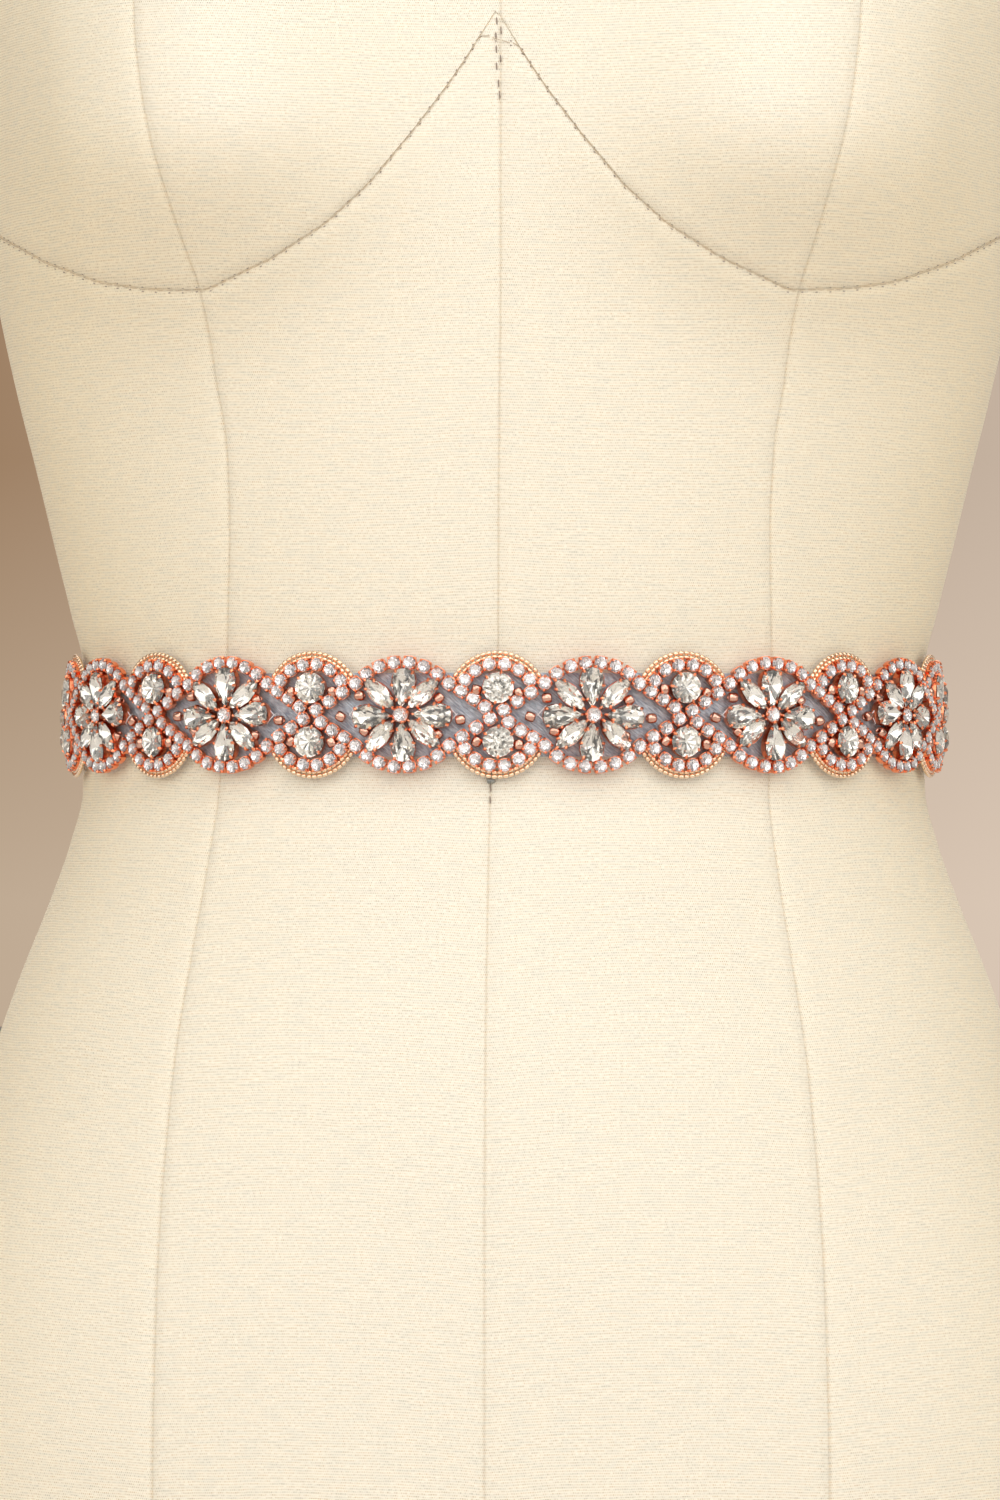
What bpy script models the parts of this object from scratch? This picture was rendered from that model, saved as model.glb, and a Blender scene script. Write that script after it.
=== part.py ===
# Rhinestone belt worn on a limbless dress form.
#
# Lengths are in millimetres until the last step, which turns them into metres.
# The belt goes round the waist of the form: grey satin ribbon first, a scalloped
# net over it, and on the net a row of motifs in two kinds, set turn by turn.
# Front of the form is -Y, up is +Z, and the form stands on its flat underside.

import math

import bpy
import numpy as np
from mathutils import Vector
from mathutils.geometry import delaunay_2d_cdt

for old in list(bpy.data.objects):
    bpy.data.objects.remove(old, do_unlink=True)

# Driving sizes
MM = 0.001
BELT_Z = 255.0            # height of the belt's middle line above the underside
WAIST_HALF_WIDTH = 116.0  # waist of the form, an ellipse
WAIST_HALF_DEPTH = 90.0
SEAM_GAP = 0.3            # clearance between pieces that are sewn together
CLOTH = 1.0               # wall of the ribbon and of the net
BED = 1.0                 # wall of a motif between its stones

MOTIF_PITCH = 25.0        # from the middle of one motif to the middle of the next
MOTIFS_EACH_SIDE = 8      # counted from the motif at centre front
STATIONS = 6              # net columns in one motif pitch

RIBBON_WIDTH = 22.0
RIBBON_LAP = 30.0         # overlap of the ribbon's ends at centre back
LAP_RAMP = 12.5           # length in which the upper end climbs over the lower one
BACK_STATION = 12.5       # column spacing of the ribbon behind the trim

NET_OVERHANG = 1.0        # net beyond the last motif, at each end

STONE_GIRDLE = 2.6        # heights above the inside of a motif
STONE_TABLE = 4.0
CHATON_TABLE = 3.0
CHAIN_TOP = 2.6
EDGING_TOP = 1.9
CHAIN_FOOT = 1.5          # half widths of a cup chain
CHAIN_RIDGE = 1.0

FORM_COLUMNS = 48

# Dress form: sections from the underside to the neck, as
# height from the belt line, half width, depth in front, depth behind, power.
FORM_SECTIONS = (
    (-255.0, 167.5, 104.0, 113.0, 2.20),
    (-232.0, 168.5, 105.0, 116.0, 2.20),
    (-200.0, 167.0, 106.5, 119.0, 2.20),
    (-165.0, 161.5, 107.0, 119.0, 2.18),
    (-130.0, 152.5, 106.0, 115.5, 2.14),
    (-98.0, 142.5, 103.5, 109.0, 2.10),
    (-72.0, 133.5, 99.5, 102.5, 2.05),
    (-50.0, 124.8, 95.5, 96.5, 2.00),
    (-34.0, 119.2, 92.5, 92.5, 2.00),
    (-20.0, 116.0, 90.0, 90.0, 2.00),
    (0.0, 116.0, 90.0, 90.0, 2.00),
    (13.0, 116.0, 90.0, 90.0, 2.00),
    (28.0, 119.3, 92.2, 91.6, 2.00),
    (46.0, 123.7, 94.8, 94.6, 2.00),
    (66.0, 128.5, 97.2, 98.6, 2.02),
    (88.0, 134.0, 99.4, 103.2, 2.05),
    (108.0, 138.4, 101.0, 107.0, 2.08),
    (121.0, 140.8, 102.0, 108.9, 2.09),
    (134.0, 142.5, 102.7, 110.3, 2.10),
    (146.0, 143.7, 103.0, 111.2, 2.11),
    (157.0, 144.6, 103.0, 112.0, 2.12),
    (168.0, 145.4, 102.5, 112.3, 2.13),
    (181.0, 146.3, 101.0, 112.2, 2.15),
    (195.0, 147.7, 98.3, 111.4, 2.17),
    (211.0, 149.7, 94.3, 109.8, 2.20),
    (240.0, 155.0, 85.5, 106.0, 2.28),
    (270.0, 161.0, 75.0, 100.0, 2.34),
    (296.0, 164.0, 65.0, 92.0, 2.36),
    (316.0, 160.0, 57.0, 83.0, 2.32),
    (332.0, 148.0, 51.0, 75.0, 2.26),
    (346.0, 128.0, 47.0, 68.0, 2.20),
    (359.0, 103.0, 45.0, 61.0, 2.12),
    (371.0, 79.0, 45.0, 56.0, 2.05),
    (383.0, 62.0, 47.0, 53.0, 2.00),
    (398.0, 54.5, 49.0, 51.0, 2.00),
    (414.0, 52.0, 50.0, 50.0, 2.00),
    (430.0, 51.0, 50.0, 49.0, 2.00),
)
BUST_X = 90.0
BUST_Z = 157.0
BUST_RISE = 36.0
BUST_REACH_X = 56.0
BUST_REACH_DOWN = 42.0
BUST_REACH_UP = 62.0

# Outlines of the two motifs: distance from the middle, half height.
FLOWER_OUTLINE = ((0.0, 15.5), (4.17, 15.0), (8.33, 13.5), (12.35, 10.8))
DOUBLE_OUTLINE = ((0.0, 16.8), (4.17, 16.2), (8.33, 14.1), (10.6, 11.9), (12.35, 10.5))
# Half height of the net over a flower and over a double, station by station.
NET_FLOWER = ((0.0, 16.7), (4.17, 16.2), (8.33, 14.7), (12.5, 11.6))
NET_DOUBLE = ((0.0, 18.0), (4.17, 17.4), (8.33, 15.3), (12.5, 11.6))

# Stones of a flower: kind, distance of the middle, direction in degrees,
# length, width.  The pointed end of a pear looks to the middle.
FLOWER_STONES = (
    ("pear", 7.0, 0.0, 9.4, 6.0),
    ("pear", 7.0, 90.0, 9.2, 6.0),
    ("pear", 7.0, 180.0, 9.4, 6.0),
    ("pear", 7.0, 270.0, 9.2, 6.0),
    ("marquise", 7.7, 46.0, 9.4, 4.2),
    ("marquise", 7.7, 134.0, 9.4, 4.2),
    ("marquise", 7.7, 226.0, 9.4, 4.2),
    ("marquise", 7.7, 314.0, 9.4, 4.2),
)
FLOWER_CHATON = 1.7       # radius
FLOWER_CHAIN = (16.9, -3.2, 39.5)   # radius, height of the centre, half angle
ROUND_STONE = 4.1         # radius
ROUND_STONE_Y = 7.05
DOUBLE_CHAIN = (10.5, 2.9, 55.0)    # radius, height of the centre, half angle
DOUBLE_EDGING = (12.95, 3.1, 56.0)
CROSS_ARM = ((-11.4, -7.5), (-6.0, -3.9), (0.0, 0.0), (6.0, 3.9), (11.4, 7.5))
CROSS_STUB = ((-11.4, 7.5), (-6.8, 4.45), (-2.3, 1.55))


# The waist line
def waist_table():
    """Even steps of the waist ellipse: arc length, point and outward normal."""
    turn = np.linspace(-math.pi, math.pi, 2881)
    x = WAIST_HALF_WIDTH * np.sin(turn)
    y = -WAIST_HALF_DEPTH * np.cos(turn)
    nx = WAIST_HALF_DEPTH * np.sin(turn)
    ny = -WAIST_HALF_WIDTH * np.cos(turn)
    size = np.hypot(nx, ny)
    nx = nx / size
    ny = ny / size
    lift = SEAM_GAP * 3 + CLOTH * 2
    step = np.hypot(np.diff(x + nx * lift), np.diff(y + ny * lift))
    run = np.concatenate(([0.0], np.cumsum(step)))
    run = run - run[-1] / 2
    return run, x, y, nx, ny


RUN, RUN_X, RUN_Y, RUN_NX, RUN_NY = waist_table()
HALF_ROUND = float(RUN[-1])


def on_waist(along, up, out):
    """Point at an arc length from centre front, a height and a distance outwards."""
    if along > HALF_ROUND:
        along = along - 2 * HALF_ROUND
    if along < -HALF_ROUND:
        along = along + 2 * HALF_ROUND
    x = float(np.interp(along, RUN, RUN_X))
    y = float(np.interp(along, RUN, RUN_Y))
    nx = float(np.interp(along, RUN, RUN_NX))
    ny = float(np.interp(along, RUN, RUN_NY))
    size = math.hypot(nx, ny)
    return (x + nx / size * out, y + ny / size * out, BELT_Z + up)


# Making objects
def add_object(name, points, faces, colour, roughness, metallic=0.0):
    """One closed body with its own material, in metres."""
    mesh = bpy.data.meshes.new(name)
    scaled = [(x * MM, y * MM, z * MM) for x, y, z in points]
    mesh.from_pydata(scaled, [], faces)
    mesh.validate()
    item = bpy.data.objects.new(name, mesh)
    bpy.context.scene.collection.objects.link(item)
    material = bpy.data.materials.new(name)
    material.use_nodes = True
    shader = material.node_tree.nodes["Principled BSDF"]
    shader.inputs["Base Color"].default_value = (*colour, 1.0)
    shader.inputs["Roughness"].default_value = roughness
    shader.inputs["Metallic"].default_value = metallic
    mesh.materials.append(material)
    return item


# Dress form
def bust(x, z):
    """How far the bust stands out in front of the plain section."""
    reach = BUST_REACH_UP if z > BUST_Z else BUST_REACH_DOWN
    across = (abs(x) - BUST_X) / BUST_REACH_X
    down = (z - BUST_Z) / reach
    return BUST_RISE * math.exp(-((across * across + down * down) ** 1.15))


def form_ring(section):
    """Points of one section, counted from the right side by way of the back."""
    height, half_width, front, back, power = section
    ring = []
    for column in range(FORM_COLUMNS):
        turn = 2 * math.pi * column / FORM_COLUMNS
        c = math.cos(turn)
        s = math.sin(turn)
        x = half_width * math.copysign(abs(c) ** (2 / power), c)
        depth = back if s > 0 else front
        y = depth * math.copysign(abs(s) ** (2 / power), s)
        if s < 0:
            y = y - bust(x, height) * min(1.0, -s * 1.6)
        ring.append((x, y, BELT_Z + height))
    return ring


def make_form():
    """Loft through all sections, closed by a flat underside and a flat neck plate."""
    points = []
    faces = []
    for section in FORM_SECTIONS:
        points.extend(form_ring(section))
    n = FORM_COLUMNS
    for row in range(len(FORM_SECTIONS) - 1):
        for column in range(n):
            a = row * n + column
            b = row * n + (column + 1) % n
            faces.append((a, b, b + n, a + n))
    under = len(points)
    points.append((0.0, 0.0, BELT_Z + FORM_SECTIONS[0][0]))
    points.append((0.0, 0.0, BELT_Z + FORM_SECTIONS[-1][0]))
    top = (len(FORM_SECTIONS) - 1) * n
    for column in range(n):
        after = (column + 1) % n
        faces.append((under, after, column))
        faces.append((under + 1, top + column, top + after))
    add_object("dress_form", points, faces, (0.86, 0.76, 0.60), 0.9)


# Ribbon and net
def make_strip(name, columns, colour, roughness):
    """Closed strip; a column is arc length, low edge, high edge, inner face, wall."""
    points = []
    faces = []
    for along, low, high, inner, wall in columns:
        points.append(on_waist(along, low, inner))
        points.append(on_waist(along, low, inner + wall))
        points.append(on_waist(along, high, inner + wall))
        points.append(on_waist(along, high, inner))
    for step in range(len(columns) - 1):
        a = step * 4
        for side in range(4):
            b = (side + 1) % 4
            faces.append((a + side, a + 4 + side, a + 4 + b, a + b))
    last = (len(columns) - 1) * 4
    faces.append((0, 1, 2, 3))
    faces.append((last + 3, last + 2, last + 1, last))
    add_object(name, points, faces, colour, roughness)


def ribbon_columns():
    """The ribbon lies on the form and its upper end climbs over the lower one."""
    half = RIBBON_WIDTH / 2
    trim_end = MOTIF_PITCH * (MOTIFS_EACH_SIDE + 0.5)
    step = MOTIF_PITCH / STATIONS * 2
    alongs = list(np.linspace(-trim_end, trim_end, int(round(2 * trim_end / step)) + 1))
    lap = RIBBON_LAP / 2
    ramp_start = HALF_ROUND - lap - LAP_RAMP
    count = int(math.ceil((ramp_start - trim_end) / BACK_STATION))
    left = [trim_end + (ramp_start - trim_end) * k / count for k in range(1, count + 1)]
    alongs = [-a for a in reversed(left)] + alongs + left
    columns = [[a, -half, half, SEAM_GAP, CLOTH] for a in alongs]
    for extra in (LAP_RAMP, LAP_RAMP + lap, LAP_RAMP + 2 * lap):
        low = [-ramp_start - extra, -half, half, SEAM_GAP, CLOTH]
        columns.insert(0, low)
        high = [ramp_start + extra, -half, half, SEAM_GAP * 2 + CLOTH, CLOTH]
        columns.append(high)
    return columns


def net_columns():
    """The net follows the motifs in scallops, from one end of the trim to the other."""
    inner = SEAM_GAP * 2 + CLOTH
    columns = []
    for motif in range(-MOTIFS_EACH_SIDE, MOTIFS_EACH_SIDE + 1):
        shape = NET_DOUBLE if motif % 2 == 0 else NET_FLOWER
        middle = motif * MOTIF_PITCH
        half = [(-x, y) for x, y in reversed(shape)] + list(shape[1:])
        if columns:
            half = half[1:]
        for x, y in half:
            columns.append([middle + x, -y, y, inner, CLOTH])
    end = columns[-1][0] + NET_OVERHANG
    start = columns[0][0] - NET_OVERHANG
    columns.insert(0, [start, -10.9, 10.9, inner, CLOTH])
    columns.append([end, -10.9, 10.9, inner, CLOTH])
    return columns


# Motifs
def round_outline(radius, corners):
    turn = [2 * math.pi * (k + 0.5) / corners for k in range(corners)]
    return [(radius * math.cos(t), radius * math.sin(t)) for t in turn]


def pear_outline(length, width):
    """Pointed at -x, round at +x."""
    h = length / 2
    w = width / 2
    return [(-h, 0.0), (-h * 0.32, -w * 0.72), (h * 0.36, -w), (h * 0.86, -w * 0.52),
            (h, 0.0), (h * 0.86, w * 0.52), (h * 0.36, w), (-h * 0.32, w * 0.72)]


def marquise_outline(length, width):
    h = length / 2
    w = width / 2
    return [(-h, 0.0), (-h * 0.38, -w * 0.9), (h * 0.38, -w * 0.9),
            (h, 0.0), (h * 0.38, w * 0.9), (-h * 0.38, w * 0.9)]


class Relief:
    """Flat plan of a motif whose loops carry heights; loops lie inside each other."""

    def __init__(self, outline):
        right = [(x, y) for x, y in outline]
        left = [(-x, y) for x, y in reversed(outline) if x > 0]
        upper = left + right
        lower = [(x, -y) for x, y in reversed(upper)]
        self.rim = upper + lower
        self.columns = len(upper)
        self.points = []
        self.heights = []
        self.edges = []
        self.loop(self.rim, BED)

    def loop(self, points, height):
        start = len(self.points)
        count = len(points)
        self.points.extend(points)
        self.heights.extend([height] * count)
        for k in range(count):
            self.edges.append((start + k, start + (k + 1) % count))

    def stone(self, outline, middle, turn, top, girdle=STONE_GIRDLE, table=0.52):
        """A set stone: foot of its setting, girdle and table."""
        c = math.cos(math.radians(turn))
        s = math.sin(math.radians(turn))
        levels = ((1.0, BED), (0.9, girdle), (table, top))
        for size, height in levels:
            ring = []
            for x, y in outline:
                ring.append((middle[0] + size * (x * c - y * s),
                             middle[1] + size * (x * s + y * c)))
            self.loop(ring, height)

    def ridge(self, path, foot, top, height):
        """A low bar along a path, for a cup chain or a bead edging."""
        for half, level in ((foot, BED), (top, height)):
            trim = foot - top if half == top else 0.0
            ahead, behind = offset_path(path, half, trim)
            self.loop(ahead + list(reversed(behind)), level)

    def body(self, middle, lift):
        """Closed body wrapped on the waist: relief outside, plain inside."""
        flat = [Vector(p) for p in self.points]
        made = delaunay_2d_cdt(flat, self.edges, [], 1, 1e-6)
        plan, faces, sources = made[0], made[2], made[3]
        points = []
        for place, source in zip(plan, sources):
            height = self.heights[source[0]]
            points.append(on_waist(middle + place.x, place.y, lift + height))
        outer = [tuple(face) for face in faces]
        rim = len(self.rim)
        start = len(points)
        for x, y in self.rim:
            points.append(on_waist(middle + x, y, lift))
        lookup = {source[0]: k for k, source in enumerate(sources) if source}
        for k in range(rim):
            after = (k + 1) % rim
            outer.append((lookup[k], lookup[after], start + after, start + k))
        last = rim - 1
        for k in range(self.columns - 1):
            outer.append((start + k, start + k + 1, start + last - k - 1, start + last - k))
        return points, outer


def offset_path(path, half, trim):
    """Points on both sides of a path, whose ends may be drawn in."""
    pts = [Vector(p) for p in path]
    first = (pts[1] - pts[0]).normalized()
    last = (pts[-1] - pts[-2]).normalized()
    pts[0] = pts[0] + first * trim
    pts[-1] = pts[-1] - last * trim
    ahead = []
    behind = []
    for k, point in enumerate(pts):
        before = pts[max(k - 1, 0)]
        after = pts[min(k + 1, len(pts) - 1)]
        along = (after - before).normalized()
        side = Vector((-along.y, along.x)) * half
        ahead.append(tuple(point + side))
        behind.append(tuple(point - side))
    return ahead, behind


def arc_path(arc, sign, corners):
    radius, centre, half_angle = arc
    path = []
    for k in range(corners):
        turn = math.radians(half_angle * (2 * k / (corners - 1) - 1))
        path.append((radius * math.sin(turn), sign * (centre + radius * math.cos(turn))))
    return path


def flower_relief():
    """Four pears on the axes, four marquises between, a chaton and two chains."""
    relief = Relief(FLOWER_OUTLINE)
    shapes = {"pear": pear_outline, "marquise": marquise_outline}
    for kind, distance, turn, length, width in FLOWER_STONES:
        t = math.radians(turn)
        middle = (distance * math.cos(t), distance * math.sin(t))
        relief.stone(shapes[kind](length, width), middle, turn, STONE_TABLE)
    relief.stone(round_outline(FLOWER_CHATON, 6), (0, 0), 0, CHATON_TABLE, 2.2, 0.5)
    for sign in (1, -1):
        relief.ridge(arc_path(FLOWER_CHAIN, sign, 7), CHAIN_FOOT, CHAIN_RIDGE, CHAIN_TOP)
    return relief


def double_relief():
    """Two round stones in arcs of chain, with crossing chains and bead edgings."""
    relief = Relief(DOUBLE_OUTLINE)
    for sign in (1, -1):
        relief.stone(round_outline(ROUND_STONE, 8), (0, sign * ROUND_STONE_Y), 0,
                     STONE_TABLE)
        relief.ridge(arc_path(DOUBLE_CHAIN, sign, 6), CHAIN_FOOT, CHAIN_RIDGE, CHAIN_TOP)
        relief.ridge(arc_path(DOUBLE_EDGING, sign, 7), 0.55, 0.3, EDGING_TOP)
        relief.ridge([(sign * x, sign * y) for x, y in CROSS_STUB],
                     CHAIN_FOOT, CHAIN_RIDGE, CHAIN_TOP)
    relief.ridge(CROSS_ARM, CHAIN_FOOT, CHAIN_RIDGE, CHAIN_TOP)
    return relief


# Build every piece
make_form()
make_strip("ribbon", ribbon_columns(), (0.42, 0.44, 0.50), 0.35)
make_strip("backing", net_columns(), (0.88, 0.80, 0.78), 0.8)

LIFT = SEAM_GAP * 3 + CLOTH * 2
RELIEFS = {"double": double_relief(), "flower": flower_relief()}
COLOURS = {"double": (0.86, 0.70, 0.60), "flower": (0.82, 0.62, 0.52)}
COUNTS = {"double": 0, "flower": 0}
for number in range(-MOTIFS_EACH_SIDE, MOTIFS_EACH_SIDE + 1):
    kind = "double" if number % 2 == 0 else "flower"
    COUNTS[kind] += 1
    shape, skin = RELIEFS[kind].body(number * MOTIF_PITCH, LIFT)
    title = "%s_%d" % (kind, COUNTS[kind])
    add_object(title, shape, skin, COLOURS[kind], 0.25, 0.4)
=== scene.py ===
# %% [markdown]
# # A rhinestone belt on a dress form
#
# The belt is three layers: a grey satin ribbon round the waist, a scalloped net on
# it, and rows of stones in copper settings on the net.  This script dresses the
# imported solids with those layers, one cell at a time.  Lengths are in metres, and
# MM turns the millimetres of a maker's notes into them.

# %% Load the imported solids
import math

import bmesh
import bpy
import numpy as np
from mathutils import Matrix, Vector


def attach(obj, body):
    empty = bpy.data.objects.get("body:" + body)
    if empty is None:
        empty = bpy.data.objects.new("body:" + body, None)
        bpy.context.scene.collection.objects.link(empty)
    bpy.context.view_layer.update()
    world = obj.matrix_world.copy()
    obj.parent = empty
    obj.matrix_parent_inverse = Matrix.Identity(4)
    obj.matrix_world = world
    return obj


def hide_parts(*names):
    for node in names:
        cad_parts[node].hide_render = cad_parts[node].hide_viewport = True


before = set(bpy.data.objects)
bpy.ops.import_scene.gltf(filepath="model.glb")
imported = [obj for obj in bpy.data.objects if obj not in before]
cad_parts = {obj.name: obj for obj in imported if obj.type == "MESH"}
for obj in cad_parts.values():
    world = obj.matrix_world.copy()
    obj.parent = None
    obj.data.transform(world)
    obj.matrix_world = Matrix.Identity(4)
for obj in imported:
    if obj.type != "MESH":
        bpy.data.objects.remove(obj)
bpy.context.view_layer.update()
MM = 0.001
TURN = 2 * math.pi
print("solids:", len(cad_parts))

# %% [markdown]
# ## Node boards
#
# Both the finishes and the repeated pieces are node trees.  A Board writes one
# tree, and a Wire is one socket on it that can be added, multiplied or compared
# as if it were a number, so that a finish reads like a formula.

# %% Boards and wires
class Wire:
    """The value of one socket, which can be used in a sum."""

    def __init__(self, board, socket):
        self.board = board
        self.socket = socket

    def sum(self, operation, other=0.0, swapped=False):
        pair = (other, self) if swapped else (self, other)
        values = {0: pair[0], 1: pair[1]}
        return self.board.node("ShaderNodeMath", values, operation=operation)

    def sine(self):
        return self.sum("SINE")

    def size(self):
        return self.sum("ABSOLUTE")

    def least(self, other):
        return self.sum("MINIMUM", other)

    def most(self, other):
        return self.sum("MAXIMUM", other)

    def held(self):
        """The same value, kept between 0 and 1."""
        return self.most(0.0).least(1.0)

    def rounded(self):
        return self.sum("ROUND")


def sign(operation, swapped):
    """A method for one of the four signs, with the wire before or after it."""
    return lambda wire, other: wire.sum(operation, other, swapped)


for _word, _operation in (("add", "ADD"), ("sub", "SUBTRACT"), ("mul", "MULTIPLY"),
                          ("truediv", "DIVIDE")):
    setattr(Wire, "__%s__" % _word, sign(_operation, False))
    setattr(Wire, "__r%s__" % _word, sign(_operation, True))


class Board:
    """A node tree that is written from top to bottom."""

    def __init__(self, tree):
        self.tree = tree

    def node(self, kind, values=None, out=0, **settings):
        made = self.tree.nodes.new(kind)
        for name, setting in settings.items():
            setattr(made, name, setting)
        for name, value in (values or {}).items():
            socket = made.inputs[name]
            if isinstance(value, Wire):
                self.tree.links.new(value.socket, socket)
            else:
                socket.default_value = value
        return Wire(self, made.outputs[out])

    def parts(self, vector):
        """The three numbers of a vector."""
        first = self.node("ShaderNodeSeparateXYZ", {0: vector})
        return [Wire(self, socket) for socket in first.socket.node.outputs]


class Finish(Board):
    """A material: a Principled shader whose fixed values are set at once."""

    def __init__(self, name, **fixed):
        self.material = bpy.data.materials.new(name)
        self.material.use_nodes = True
        super().__init__(self.material.node_tree)
        self.shader = self.tree.nodes["Principled BSDF"]
        for key, value in fixed.items():
            self.shader.inputs[key.replace("_", " ")].default_value = value

    def feed(self, socket, wire):
        self.tree.links.new(wire.socket, self.shader.inputs[socket])

    def uv(self):
        """The two lengths along the cloth, in metres, and both as a vector."""
        cloth = self.node("ShaderNodeUVMap", uv_map="Cloth")
        return (*self.parts(cloth)[:2], cloth)

    def place(self):
        return self.node("ShaderNodeTexCoord", out=3)

    def noise(self, vector, scale, detail=2.0, roughness=0.5):
        values = {"Vector": vector, "Scale": scale, "Detail": detail,
                  "Roughness": roughness}
        return self.node("ShaderNodeTexNoise", values)

    def stretched(self, vector, x, y):
        values = {"Vector": vector, "Scale": (x, y, 1.0)}
        return self.node("ShaderNodeMapping", values)

    def between(self, mask, low, high):
        """One colour where the mask is 0 and another where it is 1; wires will do too."""
        low, high = (c if isinstance(c, Wire) else (*c, 1.0) for c in (low, high))
        return self.node("ShaderNodeMix", {0: mask, 6: low, 7: high}, 2, data_type="RGBA")

    def bump(self, height, distance, strength=1.0):
        values = {"Height": height, "Distance": distance, "Strength": strength}
        self.feed("Normal", self.node("ShaderNodeBump", values))


print("boards ready")

# %% [markdown]
# ## The waist line
#
# Every layer of the belt is a plan drawn flat, in a length along the belt and a
# height, and then wrapped round the waist.  The waist is an ellipse.  Lengths are
# counted where the stones stand, so that the repeats keep their true pitch, and
# `wrap` moves a point outwards along the ellipse's own normal.

# %% Wrap a plan round the waist
WAIST_HALF_WIDTH = 116 * MM
WAIST_HALF_DEPTH = 90 * MM
BELT_Z = 255 * MM
STONE_LIFT = 2.9 * MM

_turn = np.linspace(-math.pi, math.pi, 5761)
_x = WAIST_HALF_WIDTH * np.sin(_turn)
_y = -WAIST_HALF_DEPTH * np.cos(_turn)
_nx = WAIST_HALF_DEPTH * np.sin(_turn)
_ny = -WAIST_HALF_WIDTH * np.cos(_turn)
_size = np.hypot(_nx, _ny)
_nx, _ny = _nx / _size, _ny / _size
_step = np.hypot(np.diff(_x + _nx * STONE_LIFT), np.diff(_y + _ny * STONE_LIFT))
_run = np.concatenate(([0.0], np.cumsum(_step)))
_run = _run - _run[-1] / 2
HALF_ROUND = float(_run[-1])


def wrap(along, up, out):
    """Points of a plan, wrapped on the waist; lengths may be arrays."""
    along, up, out = np.broadcast_arrays(along, up, out)
    around = (along + HALF_ROUND) % (2 * HALF_ROUND) - HALF_ROUND
    nx = np.interp(around, _run, _nx)
    ny = np.interp(around, _run, _ny)
    size = np.hypot(nx, ny)
    x = np.interp(around, _run, _x) + nx / size * out
    y = np.interp(around, _run, _y) + ny / size * out
    return np.stack([x, y, BELT_Z + up], axis=-1)


print("once round the belt: %.0f mm" % (2 * HALF_ROUND / MM))

# %% [markdown]
# ## Skinning rings
#
# The form, the ribbon and the net are all lofts: rings of points, skinned one to
# the next and closed at both ends.  One helper makes them all, with a UV map in
# metres along the cloth, because a weave has to follow the cloth and not the room.

# %% Loft helper
SHARP_EDGE = math.radians(50)


def show(name, data):
    """A new object of the scene, at the origin."""
    item = bpy.data.objects.new(name, data)
    bpy.context.scene.collection.objects.link(item)
    return item


def mend(mesh):
    """Drop points that no face uses and turn the faces outwards."""
    work = bmesh.new()
    work.from_mesh(mesh)
    loose = [v for v in work.verts if not v.link_faces]
    bmesh.ops.delete(work, geom=loose, context="VERTS")
    bmesh.ops.recalc_face_normals(work, faces=work.faces[:])
    work.to_mesh(mesh)
    work.free()


def skin(start, rows, around):
    """Faces that join closed rings of points, each to the next."""
    faces = []
    for row in range(start, start + (rows - 1) * around, around):
        for k in range(around):
            a, b = row + k, row + (k + 1) % around
            faces.append((a, b, b + around, a + around))
    return faces


def loft(name, rings, lengths, finish):
    """Skin closed rings (rings x points x 3); lengths are the UVs in metres."""
    count, around = rings.shape[:2]
    points = [tuple(p) for p in rings.reshape(-1, 3)]
    faces = skin(0, count, around)
    uvs = [(lengths[row, k], lengths[row, k + 1], lengths[row + 1, k + 1], lengths[row + 1, k])
           for row in range(count - 1) for k in range(around)]
    for row in (0, count - 1):
        middle = len(points)
        points.append(tuple(rings[row].mean(axis=0)))
        for k in range(around):
            face = (row * around + k, row * around + (k + 1) % around, middle)
            faces.append(face)
            uvs.append([points[corner][:2] for corner in face])
    mesh = bpy.data.meshes.new(name)
    mesh.from_pydata(points, [], faces)
    layer = mesh.uv_layers.new(name="Cloth")
    layer.data.foreach_set("uv", np.concatenate([np.ravel(u) for u in uvs]))
    mend(mesh)
    mesh.shade_smooth()
    mesh.set_sharp_from_angle(angle=SHARP_EDGE)
    mesh.materials.append(finish.material)
    return show(name, mesh)


print("loft helper ready")

# %% [markdown]
# ## Linen of the dress form
#
# The form is covered in heavy cream linen with a fine cross rib.  Light ribs run
# round the form, about fourteen to a centimetre, and the warp shows between them as
# a row of darker dots, some strong and some faint.  Ribs and dots are sine waves on
# the cloth's own lengths, and noise makes them uneven.

# %% Linen finish
RIB_PITCH = 0.73 * MM
DOT_PITCH = 0.60 * MM
LINEN_LIGHT = (0.91, 0.862, 0.748)
# painted shade: the yellower, darker linen of the form's sides and undersides
LINEN_SHADED_SIDE = (0.91, 0.80, 0.58)
LINEN_TAN = (0.56, 0.40, 0.22)
LINEN_GREY = (0.46, 0.41, 0.32)
DOT_SHIFT = 0.92 * math.pi  # from one row of dots to the next
SEAM_SHADE = 0.28
RIB_HEIGHT = 0.06 * MM


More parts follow.
